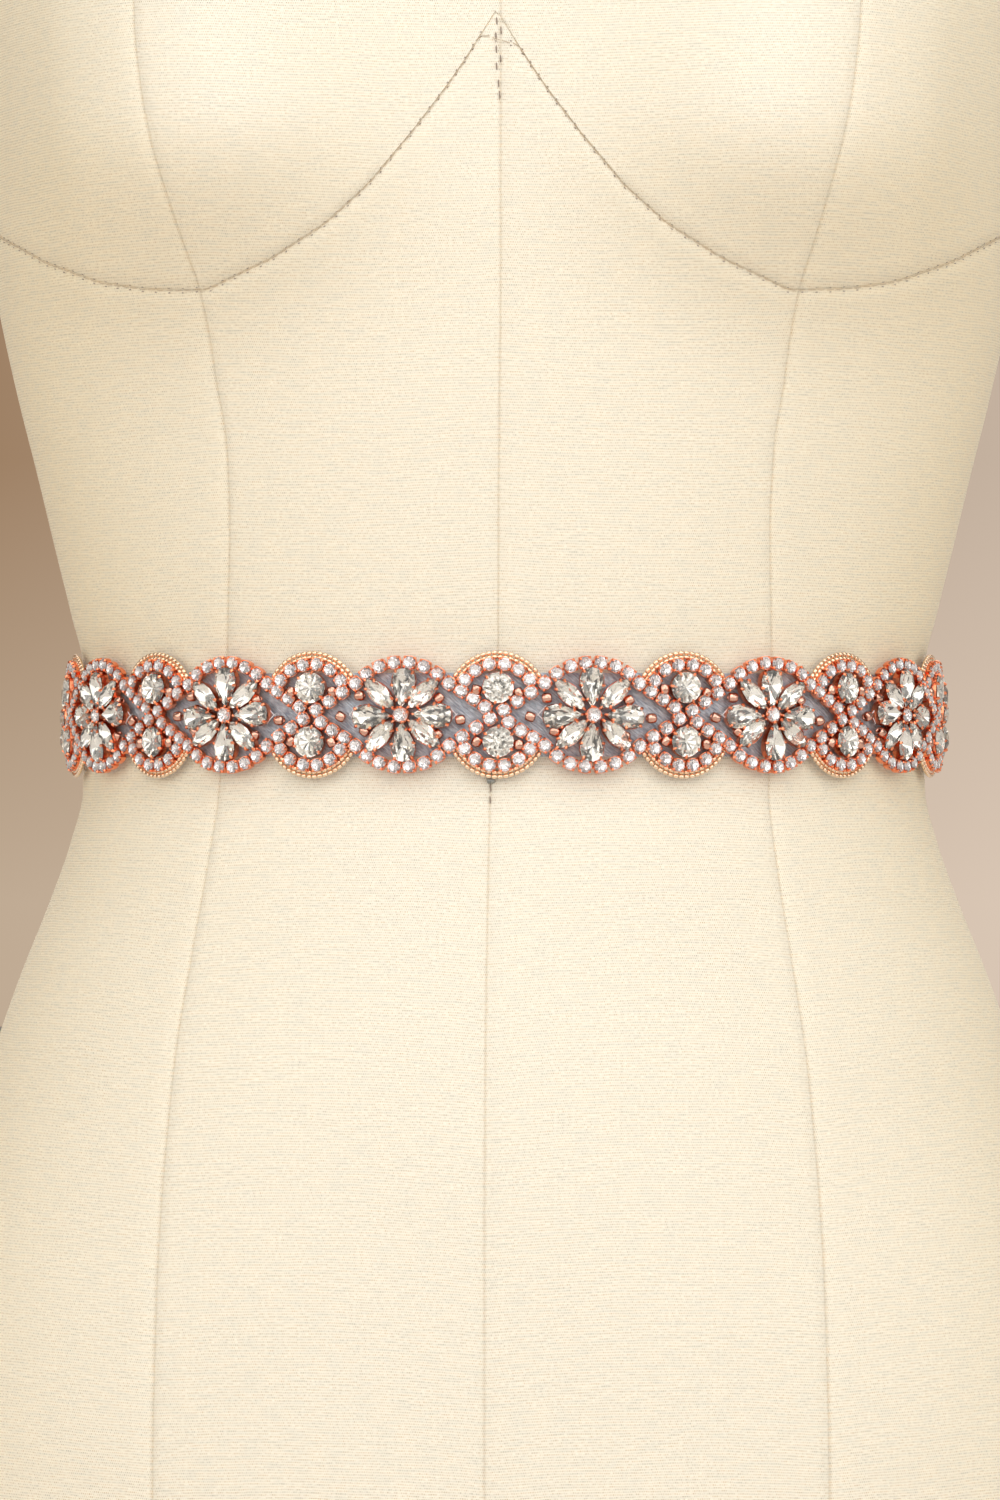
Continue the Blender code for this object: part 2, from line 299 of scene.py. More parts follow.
def linen_finish():
    finish = Finish("linen", Roughness=0.9, Sheen_Weight=0.2, Sheen_Roughness=0.5,
                    Specular_IOR_Level=0.2)
    u, v, cloth = finish.uv()
    sway = finish.noise(finish.stretched(cloth, 40, 55), 1.0, 2.0)
    fleck = finish.noise(finish.stretched(cloth, 1100, 1300), 1.0, 1.0)
    yarn = finish.noise(finish.stretched(cloth, 170, 900), 1.0, 2.0)
    broad = finish.noise(finish.stretched(cloth, 9, 14), 1.0, 3.0)
    rows = v * (1.0 / RIB_PITCH) + sway * 1.6
    valley = 0.5 - (rows * TURN).sine() * 0.5
    shifted = rows.rounded() * DOT_SHIFT
    dots = (u * (TURN / DOT_PITCH) + shifted + sway * 9.0).sine() * 0.5 + 0.5
    strong = ((fleck - 0.24) * 2.6).most(0.0)
    dark = valley * (0.06 + dots * strong) + (1.0 - valley) * (1.0 - dots) * 0.17
    dark = dark + (yarn - 0.5) * 0.30 + (broad - 0.5) * 0.08
    seam = finish.node("ShaderNodeAttribute", out=2, attribute_name="seam")
    dark = dark + ((seam - 0.45) * 2.0).most(0.0) * SEAM_SHADE
    hue = ((yarn - 0.5) * 4.0 + 0.5).held()
    # painted shade: where the attribute side is high, at the sides and undersides of the form,
    # the linen's light colour turns yellower and darker
    side = finish.node("ShaderNodeAttribute", out=2, attribute_name="side")
    finish.feed("Base Color", finish.between(
        dark.held(), finish.between(side, LINEN_LIGHT, LINEN_SHADED_SIDE),
        finish.between(hue, LINEN_TAN, LINEN_GREY)))
    finish.bump(1.0 - valley * (0.6 + dots * 0.4), RIB_HEIGHT, 0.7)
    return finish


LINEN = linen_finish()
print("ribs per centimetre: %.1f" % (10 * MM / RIB_PITCH))

# %% [markdown]
# ## The dress form
#
# A tailor's form is cut in panels that meet at the centres, at the princess lines
# and at the sides, with a curved seam under the bust.  Here each ring of points is
# divided at those same lines, so that a seam is a real column of the mesh and can
# be drawn in by half a millimetre.  Rows near the bust bend with its seam.

# %% Sections of the form
# height from the belt line, half width, depth in front, depth behind, power (mm)
FORM_SECTIONS = np.array((
    (-255.0, 167.5, 104.0, 113.0, 2.20),
    (-232.0, 168.5, 105.0, 116.0, 2.20),
    (-200.0, 167.0, 106.5, 119.0, 2.20),
    (-165.0, 161.5, 107.0, 119.0, 2.18),
    (-130.0, 152.5, 106.0, 115.5, 2.14),
    (-98.0, 142.5, 103.5, 109.0, 2.10),
    (-72.0, 133.5, 99.5, 102.5, 2.05),
    (-50.0, 124.8, 95.5, 96.5, 2.00),
    (-34.0, 119.2, 92.5, 92.5, 2.00),
    (-20.0, 116.0, 90.0, 90.0, 2.00),
    (0.0, 116.0, 90.0, 90.0, 2.00),
    (13.0, 116.0, 90.0, 90.0, 2.00),
    (28.0, 119.3, 92.2, 91.6, 2.00),
    (46.0, 123.7, 94.8, 94.6, 2.00),
    (66.0, 128.5, 97.2, 98.6, 2.02),
    (88.0, 134.0, 99.4, 103.2, 2.05),
    (108.0, 138.4, 101.0, 107.0, 2.08),
    (121.0, 140.8, 102.0, 108.9, 2.09),
    (134.0, 142.5, 102.7, 110.3, 2.10),
    (146.0, 143.7, 103.0, 111.2, 2.11),
    (157.0, 144.6, 103.0, 112.0, 2.12),
    (168.0, 145.4, 102.5, 112.3, 2.13),
    (181.0, 146.3, 101.0, 112.2, 2.15),
    (195.0, 147.7, 98.3, 111.4, 2.17),
    (211.0, 149.7, 94.3, 109.8, 2.20),
    (240.0, 155.0, 85.5, 106.0, 2.28),
    (270.0, 161.0, 75.0, 100.0, 2.34),
    (296.0, 164.0, 65.0, 92.0, 2.36),
    (316.0, 160.0, 57.0, 83.0, 2.32),
    (332.0, 148.0, 51.0, 75.0, 2.26),
    (346.0, 128.0, 47.0, 68.0, 2.20),
    (359.0, 103.0, 45.0, 61.0, 2.12),
    (371.0, 79.0, 45.0, 56.0, 2.05),
    (383.0, 62.0, 47.0, 53.0, 2.00),
    (398.0, 54.5, 49.0, 51.0, 2.00),
    (414.0, 52.0, 50.0, 50.0, 2.00),
    (430.0, 51.0, 50.0, 49.0, 2.00),
))
BUST_X, BUST_Z, BUST_RISE = 90.0, 157.0, 36.0
BUST_REACH_X, BUST_REACH_DOWN, BUST_REACH_UP = 56.0, 42.0, 62.0
BUST_FALL = 1.15  # how steeply the bust falls off beyond its reach
SIDE_FADE = 1.6   # how soon the bust and its seam end at the sides


def smooth_read(places, values, wanted):
    """Read a table along a curve that never overshoots its rows."""
    gaps = np.diff(places)
    rises = np.diff(values) / gaps
    slopes = np.zeros(len(places))
    for k in range(1, len(places) - 1):
        if rises[k - 1] * rises[k] > 0:
            before = 2 * gaps[k] + gaps[k - 1]
            after = gaps[k] + 2 * gaps[k - 1]
            slopes[k] = (before + after) / (before / rises[k - 1] + after / rises[k])
    slopes[0], slopes[-1] = rises[0], rises[-1]
    k = np.clip(np.searchsorted(places, wanted, side="right") - 1, 0, len(gaps) - 1)
    t = (wanted - places[k]) / gaps[k]
    return (values[k] * (1 + 2 * t) * (1 - t) ** 2 + slopes[k] * gaps[k] * t * (1 - t) ** 2
            + values[k + 1] * t * t * (3 - 2 * t) + slopes[k + 1] * gaps[k] * t * t * (t - 1))


def form_points(turn, height):
    """Surface of the form in millimetres; turn 0 is its right side, -90 its front."""
    rows = FORM_SECTIONS[:, 0]
    half, front, back, power = (smooth_read(rows, FORM_SECTIONS[:, c], height)
                                for c in (1, 2, 3, 4))
    c, s = np.cos(turn), np.sin(turn)
    x = half * np.sign(c) * np.abs(c) ** (2 / power)
    depth = np.where(s > 0, back, front)
    y = depth * np.sign(s) * np.abs(s) ** (2 / power)
    reach = np.where(height > BUST_Z, BUST_REACH_UP, BUST_REACH_DOWN)
    across = (np.abs(x) - BUST_X) / BUST_REACH_X
    down = (height - BUST_Z) / reach
    rise = BUST_RISE * np.exp(-((across ** 2 + down ** 2) ** BUST_FALL))
    y = y - np.where(s < 0, rise * np.minimum(1.0, -s * SIDE_FADE), 0.0)
    return np.stack([x, y, height + BELT_Z / MM], axis=-1)


print("form: %.0f mm high" % (FORM_SECTIONS[-1, 0] - FORM_SECTIONS[0, 0]))

# %% Seam lines of the form
# height from the belt line, distance of the front princess seam from the centre (mm)
PRINCESS = np.array((
    (-255.0, 89.0), (-205.0, 89.0), (-153.0, 88.0), (-93.0, 83.8), (-64.0, 79.6),
    (-35.0, 75.1), (-19.0, 73.2), (15.0, 72.5), (50.0, 72.0), (75.0, 73.2),
    (95.0, 76.2), (111.0, 78.2), (121.0, 79.8), (131.0, 83.0), (142.0, 86.5),
    (155.0, 90.3), (170.0, 93.2), (187.0, 95.0), (230.0, 95.6), (300.0, 92.0),
    (346.0, 84.0), (371.0, 56.0), (398.0, 34.0), (430.0, 32.0),
))
# the same for the princess seam of the back
PRINCESS_BACK = np.array((
    (-255.0, 88.0), (-170.0, 85.5), (-90.0, 79.5), (-19.0, 71.0), (40.0, 70.0),
    (110.0, 74.0), (180.0, 80.0), (250.0, 83.0), (300.0, 80.0), (335.0, 70.0),
    (365.0, 49.0), (398.0, 34.0), (430.0, 32.0),
))
# distance from the centre, height of the seam under the bust (mm)
UNDERBUST = np.array((
    (0.0, 184.0), (6.5, 172.0), (13.0, 162.0), (21.5, 150.5), (32.5, 137.5),
    (44.0, 127.5), (59.0, 118.7), (77.7, 111.0), (92.5, 111.7), (106.0, 114.0),
    (121.0, 120.5), (134.0, 129.0), (146.0, 140.0),
))
# height from the belt line, how far the front seams lie to the right (mm)
SEAM_DRIFT = np.array((
    (-255.0, -3.1), (-150.0, -3.1), (-100.0, -3.0), (-54.0, -2.5), (-22.0, -1.95),
    (-14.0, -1.5), (14.0, 0.1), (46.0, 0.4), (85.0, 0.9), (124.0, 0.9), (150.0, 0.65),
    (430.0, 0.5),
))
SEAM_ROW = 121.0
ROW_PITCH = 3.6
SEAM_HALF = 0.8
SEAM_DEPTH = 0.55
PANEL_PARTS = 22
BEND_REACH = 95.0


def panel_turns(height):
    """Turn of every column at each height, with the seams at panel edges."""
    half = smooth_read(FORM_SECTIONS[:, 0], FORM_SECTIONS[:, 1], height)
    power = smooth_read(FORM_SECTIONS[:, 0], FORM_SECTIONS[:, 4], height)
    front, back = (
        np.arccos(np.clip(smooth_read(seam[:, 0], seam[:, 1], height) / half, 0.05, 0.9)
                  ** (power / 2)) for seam in (PRINCESS, PRINCESS_BACK))
    q = math.pi / 2
    edges = [-3 * q + 0 * height, -2 * q - back, -2 * q + 0 * height, -2 * q + front,
             -q + 0 * height, -front, 0 * height, back, q + 0 * height]
    inner = np.linspace(0, 1, PANEL_PARTS + 1)[1:-1]
    parts = np.concatenate(([0.0, 0.011], inner, [0.989]))  # one column close to each seam
    turns = [a + (b - a) * p for a, b in zip(edges[:-1], edges[1:]) for p in parts]
    turns.append(edges[-1])
    drift = smooth_read(SEAM_DRIFT[:, 0], SEAM_DRIFT[:, 1], height)
    twist = np.sign(drift) * (np.abs(drift) / half) ** (power / 2)
    return np.stack(turns, axis=-1) + twist[:, None], len(parts)


def row_heights():
    low, high = FORM_SECTIONS[0, 0], FORM_SECTIONS[-1, 0]
    below = np.linspace(low, SEAM_ROW - SEAM_HALF, int((SEAM_ROW - low) / ROW_PITCH))
    above = np.linspace(SEAM_ROW + SEAM_HALF, high, int((high - SEAM_ROW) / ROW_PITCH))
    return np.concatenate((below, [SEAM_ROW], above))


def form_grid():
    """Rows x columns of the cover, with both kinds of seam drawn in."""
    rows = row_heights()
    turns, per_panel = panel_turns(rows)
    flat = np.repeat(rows[:, None], turns.shape[1], axis=1)
    plain = form_points(turns, flat)
    target = np.interp(np.abs(plain[..., 0]), UNDERBUST[:, 0], UNDERBUST[:, 1])
    front = np.clip(1.0 - np.maximum(np.sin(turns), 0.0) * SIDE_FADE, 0.0, 1.0)
    bend = np.clip(1.0 - np.abs(flat - SEAM_ROW) / BEND_REACH, 0.0, 1.0)
    bent = flat + bend * front * (target - SEAM_ROW)
    grid = form_points(turns, bent)
    along = np.gradient(grid, axis=1)
    upward = np.gradient(grid, axis=0)
    normal = np.cross(along, upward)
    normal /= np.linalg.norm(normal, axis=-1, keepdims=True)
    drawn = np.zeros(turns.shape)
    drawn[:, ::per_panel] = SEAM_DEPTH
    seam_row = int(np.argmin(np.abs(rows - SEAM_ROW)))
    in_front = np.sin(turns[seam_row]) < 0.02
    drawn[seam_row, in_front] = SEAM_DEPTH
    return grid - normal * drawn[..., None], normal, seam_row, per_panel, in_front, drawn


FORM_GRID, FORM_NORMAL, BUST_ROW, PER_PANEL, BUST_FRONT, DRAWN = form_grid()
print("form rows and columns:", FORM_GRID.shape[:2])

# %% Make the form
PANEL_ARCH = 1.6


def form_lengths(grid):
    """Length round each row and up the form, with the ribs arched in each panel."""
    steps = np.linalg.norm(np.diff(grid[..., :2], axis=1), axis=-1)
    around = np.concatenate((np.zeros((len(grid), 1)), np.cumsum(steps, axis=1)), axis=1)
    around = around - around[:, [grid.shape[1] // 2]]
    rise = np.linalg.norm(np.diff(grid, axis=0), axis=-1).mean(axis=1)
    upward = np.interp(grid[..., 2], grid[..., 2].mean(axis=1),
                       np.concatenate(([0.0], np.cumsum(rise))))
    first = np.arange(grid.shape[1]) // PER_PANEL * PER_PANEL
    last = np.minimum(first + PER_PANEL, grid.shape[1] - 1)
    width = np.maximum(around[:, last] - around[:, first], 1.0)
    across = (around - around[:, first]) / width
    flare = np.clip((BELT_Z / MM - grid[..., 2]) / 60, -0.4, 1.0)
    upward = upward - 4 * PANEL_ARCH * flare * across * (1 - across)
    return np.stack([around, upward], axis=-1)


form = loft("linen_form", FORM_GRID[:, :-1] * MM, form_lengths(FORM_GRID) * MM, LINEN)
# painted shade, kept as the attribute side: how far each point of the form faces sideways or
# downwards
side_shade = FORM_NORMAL[..., 0] ** 2 + 0.9 * np.maximum(-FORM_NORMAL[..., 2], 0.0)
seams = DRAWN / SEAM_DEPTH
seams[[0, -1]] = 0.0
for mark, values in (("seam", seams), ("side", np.minimum(side_shade, 1.0))):
    layer = form.data.attributes.new(mark, "FLOAT", "POINT")
    layer.data.foreach_set("value", np.append(values[:, :-1].ravel(), (0.0, 0.0)))
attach(form, "root")
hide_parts("dress_form")
print("form faces:", len(form.data.polygons))

# %% [markdown]
# ## Satin ribbon
#
# The ribbon is one length of steel-grey satin, seen between the stones and all
# round the back.  Satin shows fine slanting floats; their glints and the soft light
# and dark bands where it is not quite flat are painted sheen in its colour.  It is
# a thin closed strip, lapped at centre back.

# %% Satin finish
SATIN_SLANT = math.radians(38)


def satin_finish():
    finish = Finish("satin", Metallic=0.3, Sheen_Weight=0.15)
    cloth = finish.uv()[2]
    turned = finish.node("ShaderNodeMapping", {"Vector": cloth,
                                               "Rotation": (0.0, 0.0, SATIN_SLANT)})
    floats_and_glints = finish.noise(finish.stretched(turned, 450, 3000), 1.0, 3.0, 0.6)
    sheen_bands = finish.noise(finish.stretched(turned, 210, 500), 1.0, 3.0)
    # painted sheen: light and dark bands and glints on the floats, put into the base colour; the
    # floats also give real roughness and bump
    painted_sheen = ((sheen_bands - 0.5) * 1.2 + (floats_and_glints - 0.5) * 2.8 + 0.37).held()
    finish.feed("Base Color", finish.between(painted_sheen, (0.19, 0.25, 0.335), (0.81, 0.92, 1.0)))
    finish.feed("Roughness", 0.32 + floats_and_glints * 0.2)
    finish.bump(floats_and_glints + sheen_bands * 2.0, 0.10 * MM, 0.5)
    return finish


SATIN = satin_finish()
print("satin ready")

# %% Ribbon
RIBBON_WIDTH = 22 * MM
RIBBON_WALL = 0.4 * MM
RIBBON_LAP = 30 * MM
LAP_RAMP = 12.5 * MM
RIBBON_INNER = 0.7 * MM
LAP_RISE = 1.3 * MM
CLIMB_FROM = HALF_ROUND - RIBBON_LAP / 2 - LAP_RAMP


def section(count, half_height, wall):
    """A thin cross section, up its outer face and down its inner one: height, offset."""
    share = np.linspace(-1, 1, count)
    crown = 1 - share ** 8
    return (np.concatenate((share, share[::-1])) * half_height,
            np.concatenate((crown, -crown[::-1])) * wall / 2)


def strip(name, places, ring_at, finish):
    """Loft the cross sections that ring_at gives along the belt."""
    rings, heights = (np.array(part) for part in zip(*(ring_at(along) for along in places)))
    lengths = [[(along, v) for v in (*up, up[0])] for along, up in zip(places, heights)]
    return loft(name, rings, np.array(lengths), finish), rings


def ribbon_ring(along):
    t = min(max((along - CLIMB_FROM) / LAP_RAMP, 0.0), 1.0)
    lift = RIBBON_INNER + LAP_RISE * t * t * (3 - 2 * t)
    up, crown = section(9, RIBBON_WIDTH / 2, RIBBON_WALL)
    ripple = 0.07 * MM * math.sin(along / (9 * MM)) * np.cos(up / (5 * MM))
    return wrap(along, up, lift + RIBBON_WALL / 2 + crown + ripple), up


def make_ribbon():
    reach = HALF_ROUND + RIBBON_LAP / 2
    ribbon, rings = strip("satin_ribbon", np.linspace(-reach, reach, 360), ribbon_ring, SATIN)
    middle = rings.mean(axis=1)
    cut = float(np.linalg.norm(np.diff(middle, axis=0), axis=1).sum())
    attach(ribbon, "root")
    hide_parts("ribbon")
    return cut


print("ribbon cut: %.0f mm" % (make_ribbon() / MM))

# %% [markdown]
# ## Net
#
# The stones are sewn to a sheer net, pale with a pink cast, trimmed in scallops a
# millimetre outside them.  Its holes are far smaller than a pixel, so the cloth is
# a thin strip with a see-through finish, and only its scalloped outline is cut.

# %% Net finish
NET_MESH = 0.36 * MM


def net_finish():
    finish = Finish("net", Roughness=0.75, Sheen_Weight=0.3)
    u, v, cloth = finish.uv()
    weft, warp = ((length * (TURN / NET_MESH)).sine().size() for length in (v, u))
    threads = (weft.most(warp) - 0.80).most(0.0) * 4.0
    patch = finish.noise(cloth, 420.0, 2.0)
    finish.feed("Base Color", finish.between(patch, (0.90, 0.84, 0.84), (0.95, 0.91, 0.90)))
    finish.feed("Alpha", (threads * 0.08 + patch * 0.22 - 0.06).most(0.0).least(0.85))
    finish.bump(threads, 0.05 * MM, 0.5)
    finish.material.blend_method = "BLEND"
    return finish


NET = net_finish()
print("net ready")

# %% Net strip
PITCH = 25 * MM
MOTIFS_EACH_SIDE = 8
NET_INNER = 1.75 * MM
NET_WALL = 0.2 * MM
NET_HALF = PITCH * (MOTIFS_EACH_SIDE + 0.5) + 1.0 * MM
NET_PLACES = np.linspace(-NET_HALF, NET_HALF, 600)
# circle that a scallop follows: radius, height of its centre
NET_SCALLOPS = {"double": (14.0 * MM, 3.1 * MM), "flower": (18.9 * MM, -3.1 * MM)}
NOTCH_HALF_HEIGHT = 10.8 * MM
NOTCH_SLOPE = 1.3


def motif_kind(number):
    return "double" if number % 2 == 0 else "flower"


def net_half_height(along):
    """Half height of the net, where the scallops of neighbours meet in a notch."""
    number = int(round(max(min(along / PITCH, MOTIFS_EACH_SIDE), -MOTIFS_EACH_SIDE)))
    heights = []
    for near in (number - 1, number, number + 1):
        if abs(near) > MOTIFS_EACH_SIDE:
            continue
        radius, centre = NET_SCALLOPS[motif_kind(near)]
        off = abs(along - near * PITCH)
        if off < radius:
            heights.append(centre + math.sqrt(radius * radius - off * off))
    notch = abs(abs(along / PITCH) % 1 - 0.5) * PITCH
    return min(max(heights), NOTCH_HALF_HEIGHT + notch * NOTCH_SLOPE)


def net_ring(along):
    half = net_half_height(along)
    up, wall = section(11, half, NET_WALL)
    curl = 0.25 * MM * np.abs(up / half) ** 6 * math.sin(along / (3.1 * MM))
    return wrap(along, up, NET_INNER + wall + curl), up


def make_net():
    net = strip("scalloped_net", NET_PLACES, net_ring, NET)[0]
    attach(net, "root")
    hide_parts("backing")
    area = 2 * sum(map(net_half_height, NET_PLACES)) * 2 * NET_HALF / len(NET_PLACES)
    return area


print("net area: %.0f square centimetres" % (make_net() * 1e4))

# %% [markdown]
# ## Metal, crystal and bead finishes
#
# A foiled rhinestone is clear glass with a mirror behind it.  Light goes in
# through the crown, meets the mirrored back and comes out of another facet, which
# is where the flashes come from.  So a stone here is one closed body with two
# finishes: glass in front and foil behind.  Settings are copper-pink metal.

# %% Metal and glass
def metal_finish(name, colour, dark, roughness):
    finish = Finish(name, Metallic=1.0)
    patch = finish.noise(finish.place(), 900.0, 3.0)
    finish.feed("Base Color", finish.between(patch, colour, dark))
    finish.feed("Roughness", roughness + patch * 0.16)
    return finish


def glass_finish(name, colour, clear):
    """Cut glass; what is not clear is a faint haze that softens the dark facets."""
    return Finish(name, Base_Color=(*colour, 1.0), Roughness=0.0, IOR=1.56,
                  Transmission_Weight=clear)


def foil_finish(name, colour, dark):
    finish = Finish(name, Metallic=1.0, Roughness=0.07)
    patch = finish.noise(finish.place(), 700.0, 1.0)
    finish.feed("Base Color", finish.between(patch, colour, dark))
    return finish


COPPER = metal_finish("copper", (1.0, 0.41, 0.23), (0.95, 0.26, 0.12), 0.16)
CRYSTAL = glass_finish("crystal", (0.99, 0.985, 0.96), 0.92)
CLEAR = glass_finish("clear_crystal", (1.0, 0.995, 1.0), 0.86)
FOIL = foil_finish("foil", (0.99, 0.975, 0.945), (0.95, 0.925, 0.88))
ROSE_FOIL = foil_finish("rose_foil", (0.99, 0.97, 0.975), (0.98, 0.92, 0.93))
GOLD_GLASS = metal_finish("gold_bead", (1.0, 0.83, 0.62), (0.95, 0.60, 0.36), 0.12)
GOLD_GLASS.shader.inputs["Coat Weight"].default_value = 1.0
ROSE_GLASS = metal_finish("copper_bead", (0.92, 0.54, 0.41), (0.54, 0.24, 0.16), 0.10)
ROSE_GLASS.shader.inputs["Coat Weight"].default_value = 1.0
GREY_METAL = metal_finish("grey_metal", (0.42, 0.43, 0.41), (0.22, 0.23, 0.23), 0.2)
print("finishes ready")

# %% [markdown]
# ## Cut stones
#
# A brilliant cut is the same on every outline: a flat table, star facets round it,
# kites that reach the girdle, and a pointed back.  One function cuts a stone from
# any outline that is given as a radius for each direction, so pears, marquises and
# rounds share their facets, and each has a few dozen faces.

# %% Cutting a stone
# widths as shares of the length
PEAR_WIDTH, MARQUISE_WIDTH = 0.62, 0.46


def round_edge(count):
    turn = np.arange(count) * TURN / count
    return np.stack([np.cos(turn), np.sin(turn)], axis=-1) / 2


def pear_edge(count):
    """A drop, one long, pointed at -x."""
    turn = np.arange(count) * TURN / count
    side = np.sin(turn) * np.abs(np.cos(turn / 2)) ** 1.1
    return np.stack([np.cos(turn) / 2, side * PEAR_WIDTH / 1.52], axis=-1)


def marquise_edge(count):
    turn = np.arange(count) * TURN / count
    side = np.sign(np.sin(turn)) * np.abs(np.sin(turn)) ** 1.6
    return np.stack([np.cos(turn) / 2, side * MARQUISE_WIDTH / 2], axis=-1)


def fresh_object(name, points, faces, flags=None):
    mesh = bpy.data.meshes.new(name)
    mesh.from_pydata([tuple(p) for p in points], [], faces)
    if flags is not None:
        layer = mesh.attributes.new("backed", "BOOLEAN", "FACE")
        layer.data.foreach_set("value", flags)
    mend(mesh)
    return show(name, mesh)


def cut_stone(name, edge, length, girdle, table, culet, mains=8, shift=0.0, plain=False,
              flat=0.56):
    """A brilliant cut on any edge; the foil is marked on the faces behind the girdle."""
    rim = edge(mains * 2) * length
    centre = np.array([shift * length, 0.0])
    odd = np.arange(mains) * 2 + 1
    even = np.arange(mains) * 2

    def ring(pick, share, height):
        plan = centre + (rim[pick] - centre) * share
        return np.column_stack([plan, np.full(len(plan), height)])

    band = 0.12 * MM
    top = girdle + band
    rise = table - top
    rings = [ring(even, flat, table), ring(odd, (1 + flat) / 2, top + rise * 0.6),
             ring(slice(None), 1.0, top), ring(slice(None), 1.0, girdle),
             ring(odd, 0.42, girdle - (girdle - culet) * 0.72),
             np.array([[*centre, culet]])]
    starts = np.concatenate(([0], np.cumsum([len(r) for r in rings])))
    table_at, crown_at, upper_at, lower_at, back_at, tip = (int(a) for a in starts[:6])
    faces = [tuple(range(mains))]
    flags = [False]
    for k in range(mains):
        after = (k + 1) % mains
        before = (k - 1) % mains
        a, b, c = upper_at + 2 * k, upper_at + 2 * k + 1, upper_at + (2 * k + 2) % (2 * mains)
        d, e, f = a - upper_at + lower_at, b - upper_at + lower_at, c - upper_at + lower_at
        crown = [(table_at + k, table_at + after, crown_at + k),
                 (table_at + k, crown_at + before, a, crown_at + k),
                 (crown_at + k, a, b), (crown_at + k, b, c),
                 (a, b, e, d), (b, c, f, e)]
        back = [(back_at + k, d, e), (back_at + k, e, f), (tip, back_at + before, d),
                (tip, d, back_at + k)]
        if plain:
            back = [(tip, d, e), (tip, e, f)]
        faces += crown + back
        flags += [False] * len(crown) + [True] * len(back)
    return fresh_object(name, np.vstack(rings), faces, flags)


PEAR_LENGTH, MARQUISE_LENGTH, ROUND_ACROSS = 10.5 * MM, 10.9 * MM, 8.2 * MM
BIG_GIRDLE, BIG_TABLE = 2.5 * MM, 3.9 * MM
PEAR = cut_stone("pear", pear_edge, PEAR_LENGTH, BIG_GIRDLE, BIG_TABLE, 1.05 * MM, 8, 0.1,
                 plain=True, flat=0.60)
MARQUISE = cut_stone("marquise", marquise_edge, MARQUISE_LENGTH, BIG_GIRDLE, BIG_TABLE,
                     0.8 * MM, 6, plain=True, flat=0.52)
ROUND = cut_stone("round", round_edge, ROUND_ACROSS, BIG_GIRDLE, BIG_TABLE, 1.1 * MM)
CHATON = cut_stone("chaton", round_edge, 3.4 * MM, 1.75 * MM, 2.5 * MM, 1.28 * MM, 6, flat=0.64)
HEART = cut_stone("heart", round_edge, 3.9 * MM, 1.75 * MM, 2.9 * MM, 1.1 * MM)
print("faces of a pear:", len(PEAR.data.polygons), "chaton:", len(CHATON.data.polygons))

# %% [markdown]
# ## Settings
#
# A large stone sits in an open box of copper with prongs bent over its girdle.  A
# small one sits in a square cup with a prong at each corner, and the cups are
# joined by short bars into a chain.  Both are a wall that follows the stone's edge
# and prongs swept along a short bent path.

# %% Walls and prongs
def add_wall(points, faces, edge, length, levels, shift=0.0):
    """A closed dish: levels are (offset from the edge, height) from floor to floor."""
    rim = edge * length
    centre = np.array([shift * length, 0.0])
    out = rim - centre
    out = out / np.linalg.norm(out, axis=-1, keepdims=True)
    start = len(points)
    count = len(rim)
    for offset, height in levels:
        flat = rim + out * offset
        points.extend(np.column_stack([flat, np.full(count, height)]))
    faces.extend(skin(start, len(levels), count))
    last = start + (len(levels) - 1) * count
    for ring_start, height in ((start, levels[0][1]), (last, levels[-1][1])):
        points.append(np.array([*centre, height]))
        middle = len(points) - 1
        for k in range(count):
            faces.append((ring_start + k, ring_start + (k + 1) % count, middle))


def add_bar(points, faces, path, widths, sides=5):
    """A round bar along a path in the plane that holds the path and +z."""
    path = np.array(path)
    start = len(points)
    for k, place in enumerate(path):
        along = path[min(k + 1, len(path) - 1)] - path[max(k - 1, 0)]
        along = along / np.linalg.norm(along)
        side = np.cross(along, (0.0, 0.0, 1.0))
        if np.linalg.norm(side) < 0.2:
            outward = np.array([path[0][0], path[0][1], 0.0])
            side = np.cross(along, outward / max(np.linalg.norm(outward), 1e-9))
        side = side / np.linalg.norm(side)
        other = np.cross(side, along)
        for turn in np.arange(sides) * TURN / sides:
            points.append(place + (side * math.cos(turn) + other * math.sin(turn)) * widths[k])
    faces.extend(skin(start, len(path), sides))
    last = start + (len(path) - 1) * sides
    faces.append(tuple(range(start, start + sides)))
    faces.append(tuple(range(last, last + sides)))


def add_prong(points, faces, foot, girdle, reach, width):
    """A prong from the wall up past the girdle and in over the stone."""
    inward = -np.array([foot[0], foot[1]]) / np.hypot(*foot)
    # inwards, up and thickness, as shares of the reach, the reach and the width
    steps = ((0.0, -1.5, 0.8), (-0.1, -0.3, 1.0), (-0.06, 0.3, 1.05),
             (0.35, 0.75, 1.0), (0.9, 0.85, 0.6))
    path = []
    widths = []
    for share, rise, size in steps:
        flat = np.array(foot) + inward * reach * share
        path.append((flat[0], flat[1], girdle + rise * reach))
        widths.append(width * size)
    add_bar(points, faces, path, widths)


def make_setting(name, edge, length, prong_turns, shift=0.0):
    """The box of a large stone; prongs stand where the edge passes each direction."""
    points, faces = [], []
    levels = ((-0.5 * MM, 0.1 * MM), (0.0, 0.25 * MM), (0.1 * MM, 1.2 * MM),
              (0.08 * MM, BIG_GIRDLE - 0.2 * MM), (-0.1 * MM, BIG_GIRDLE - 0.25 * MM),
              (-0.15 * MM, 1.6 * MM), (-0.9 * MM, 0.45 * MM))
    add_wall(points, faces, edge(24), length, levels, shift)
    fine = edge(360) * length
    for turn in prong_turns:
        foot = fine[int(turn) % 360]
        foot = foot + foot / np.hypot(*foot) * 0.05 * MM
        add_prong(points, faces, foot, BIG_GIRDLE, 0.66 * MM, 0.42 * MM)
    return fresh_object(name, points, faces)


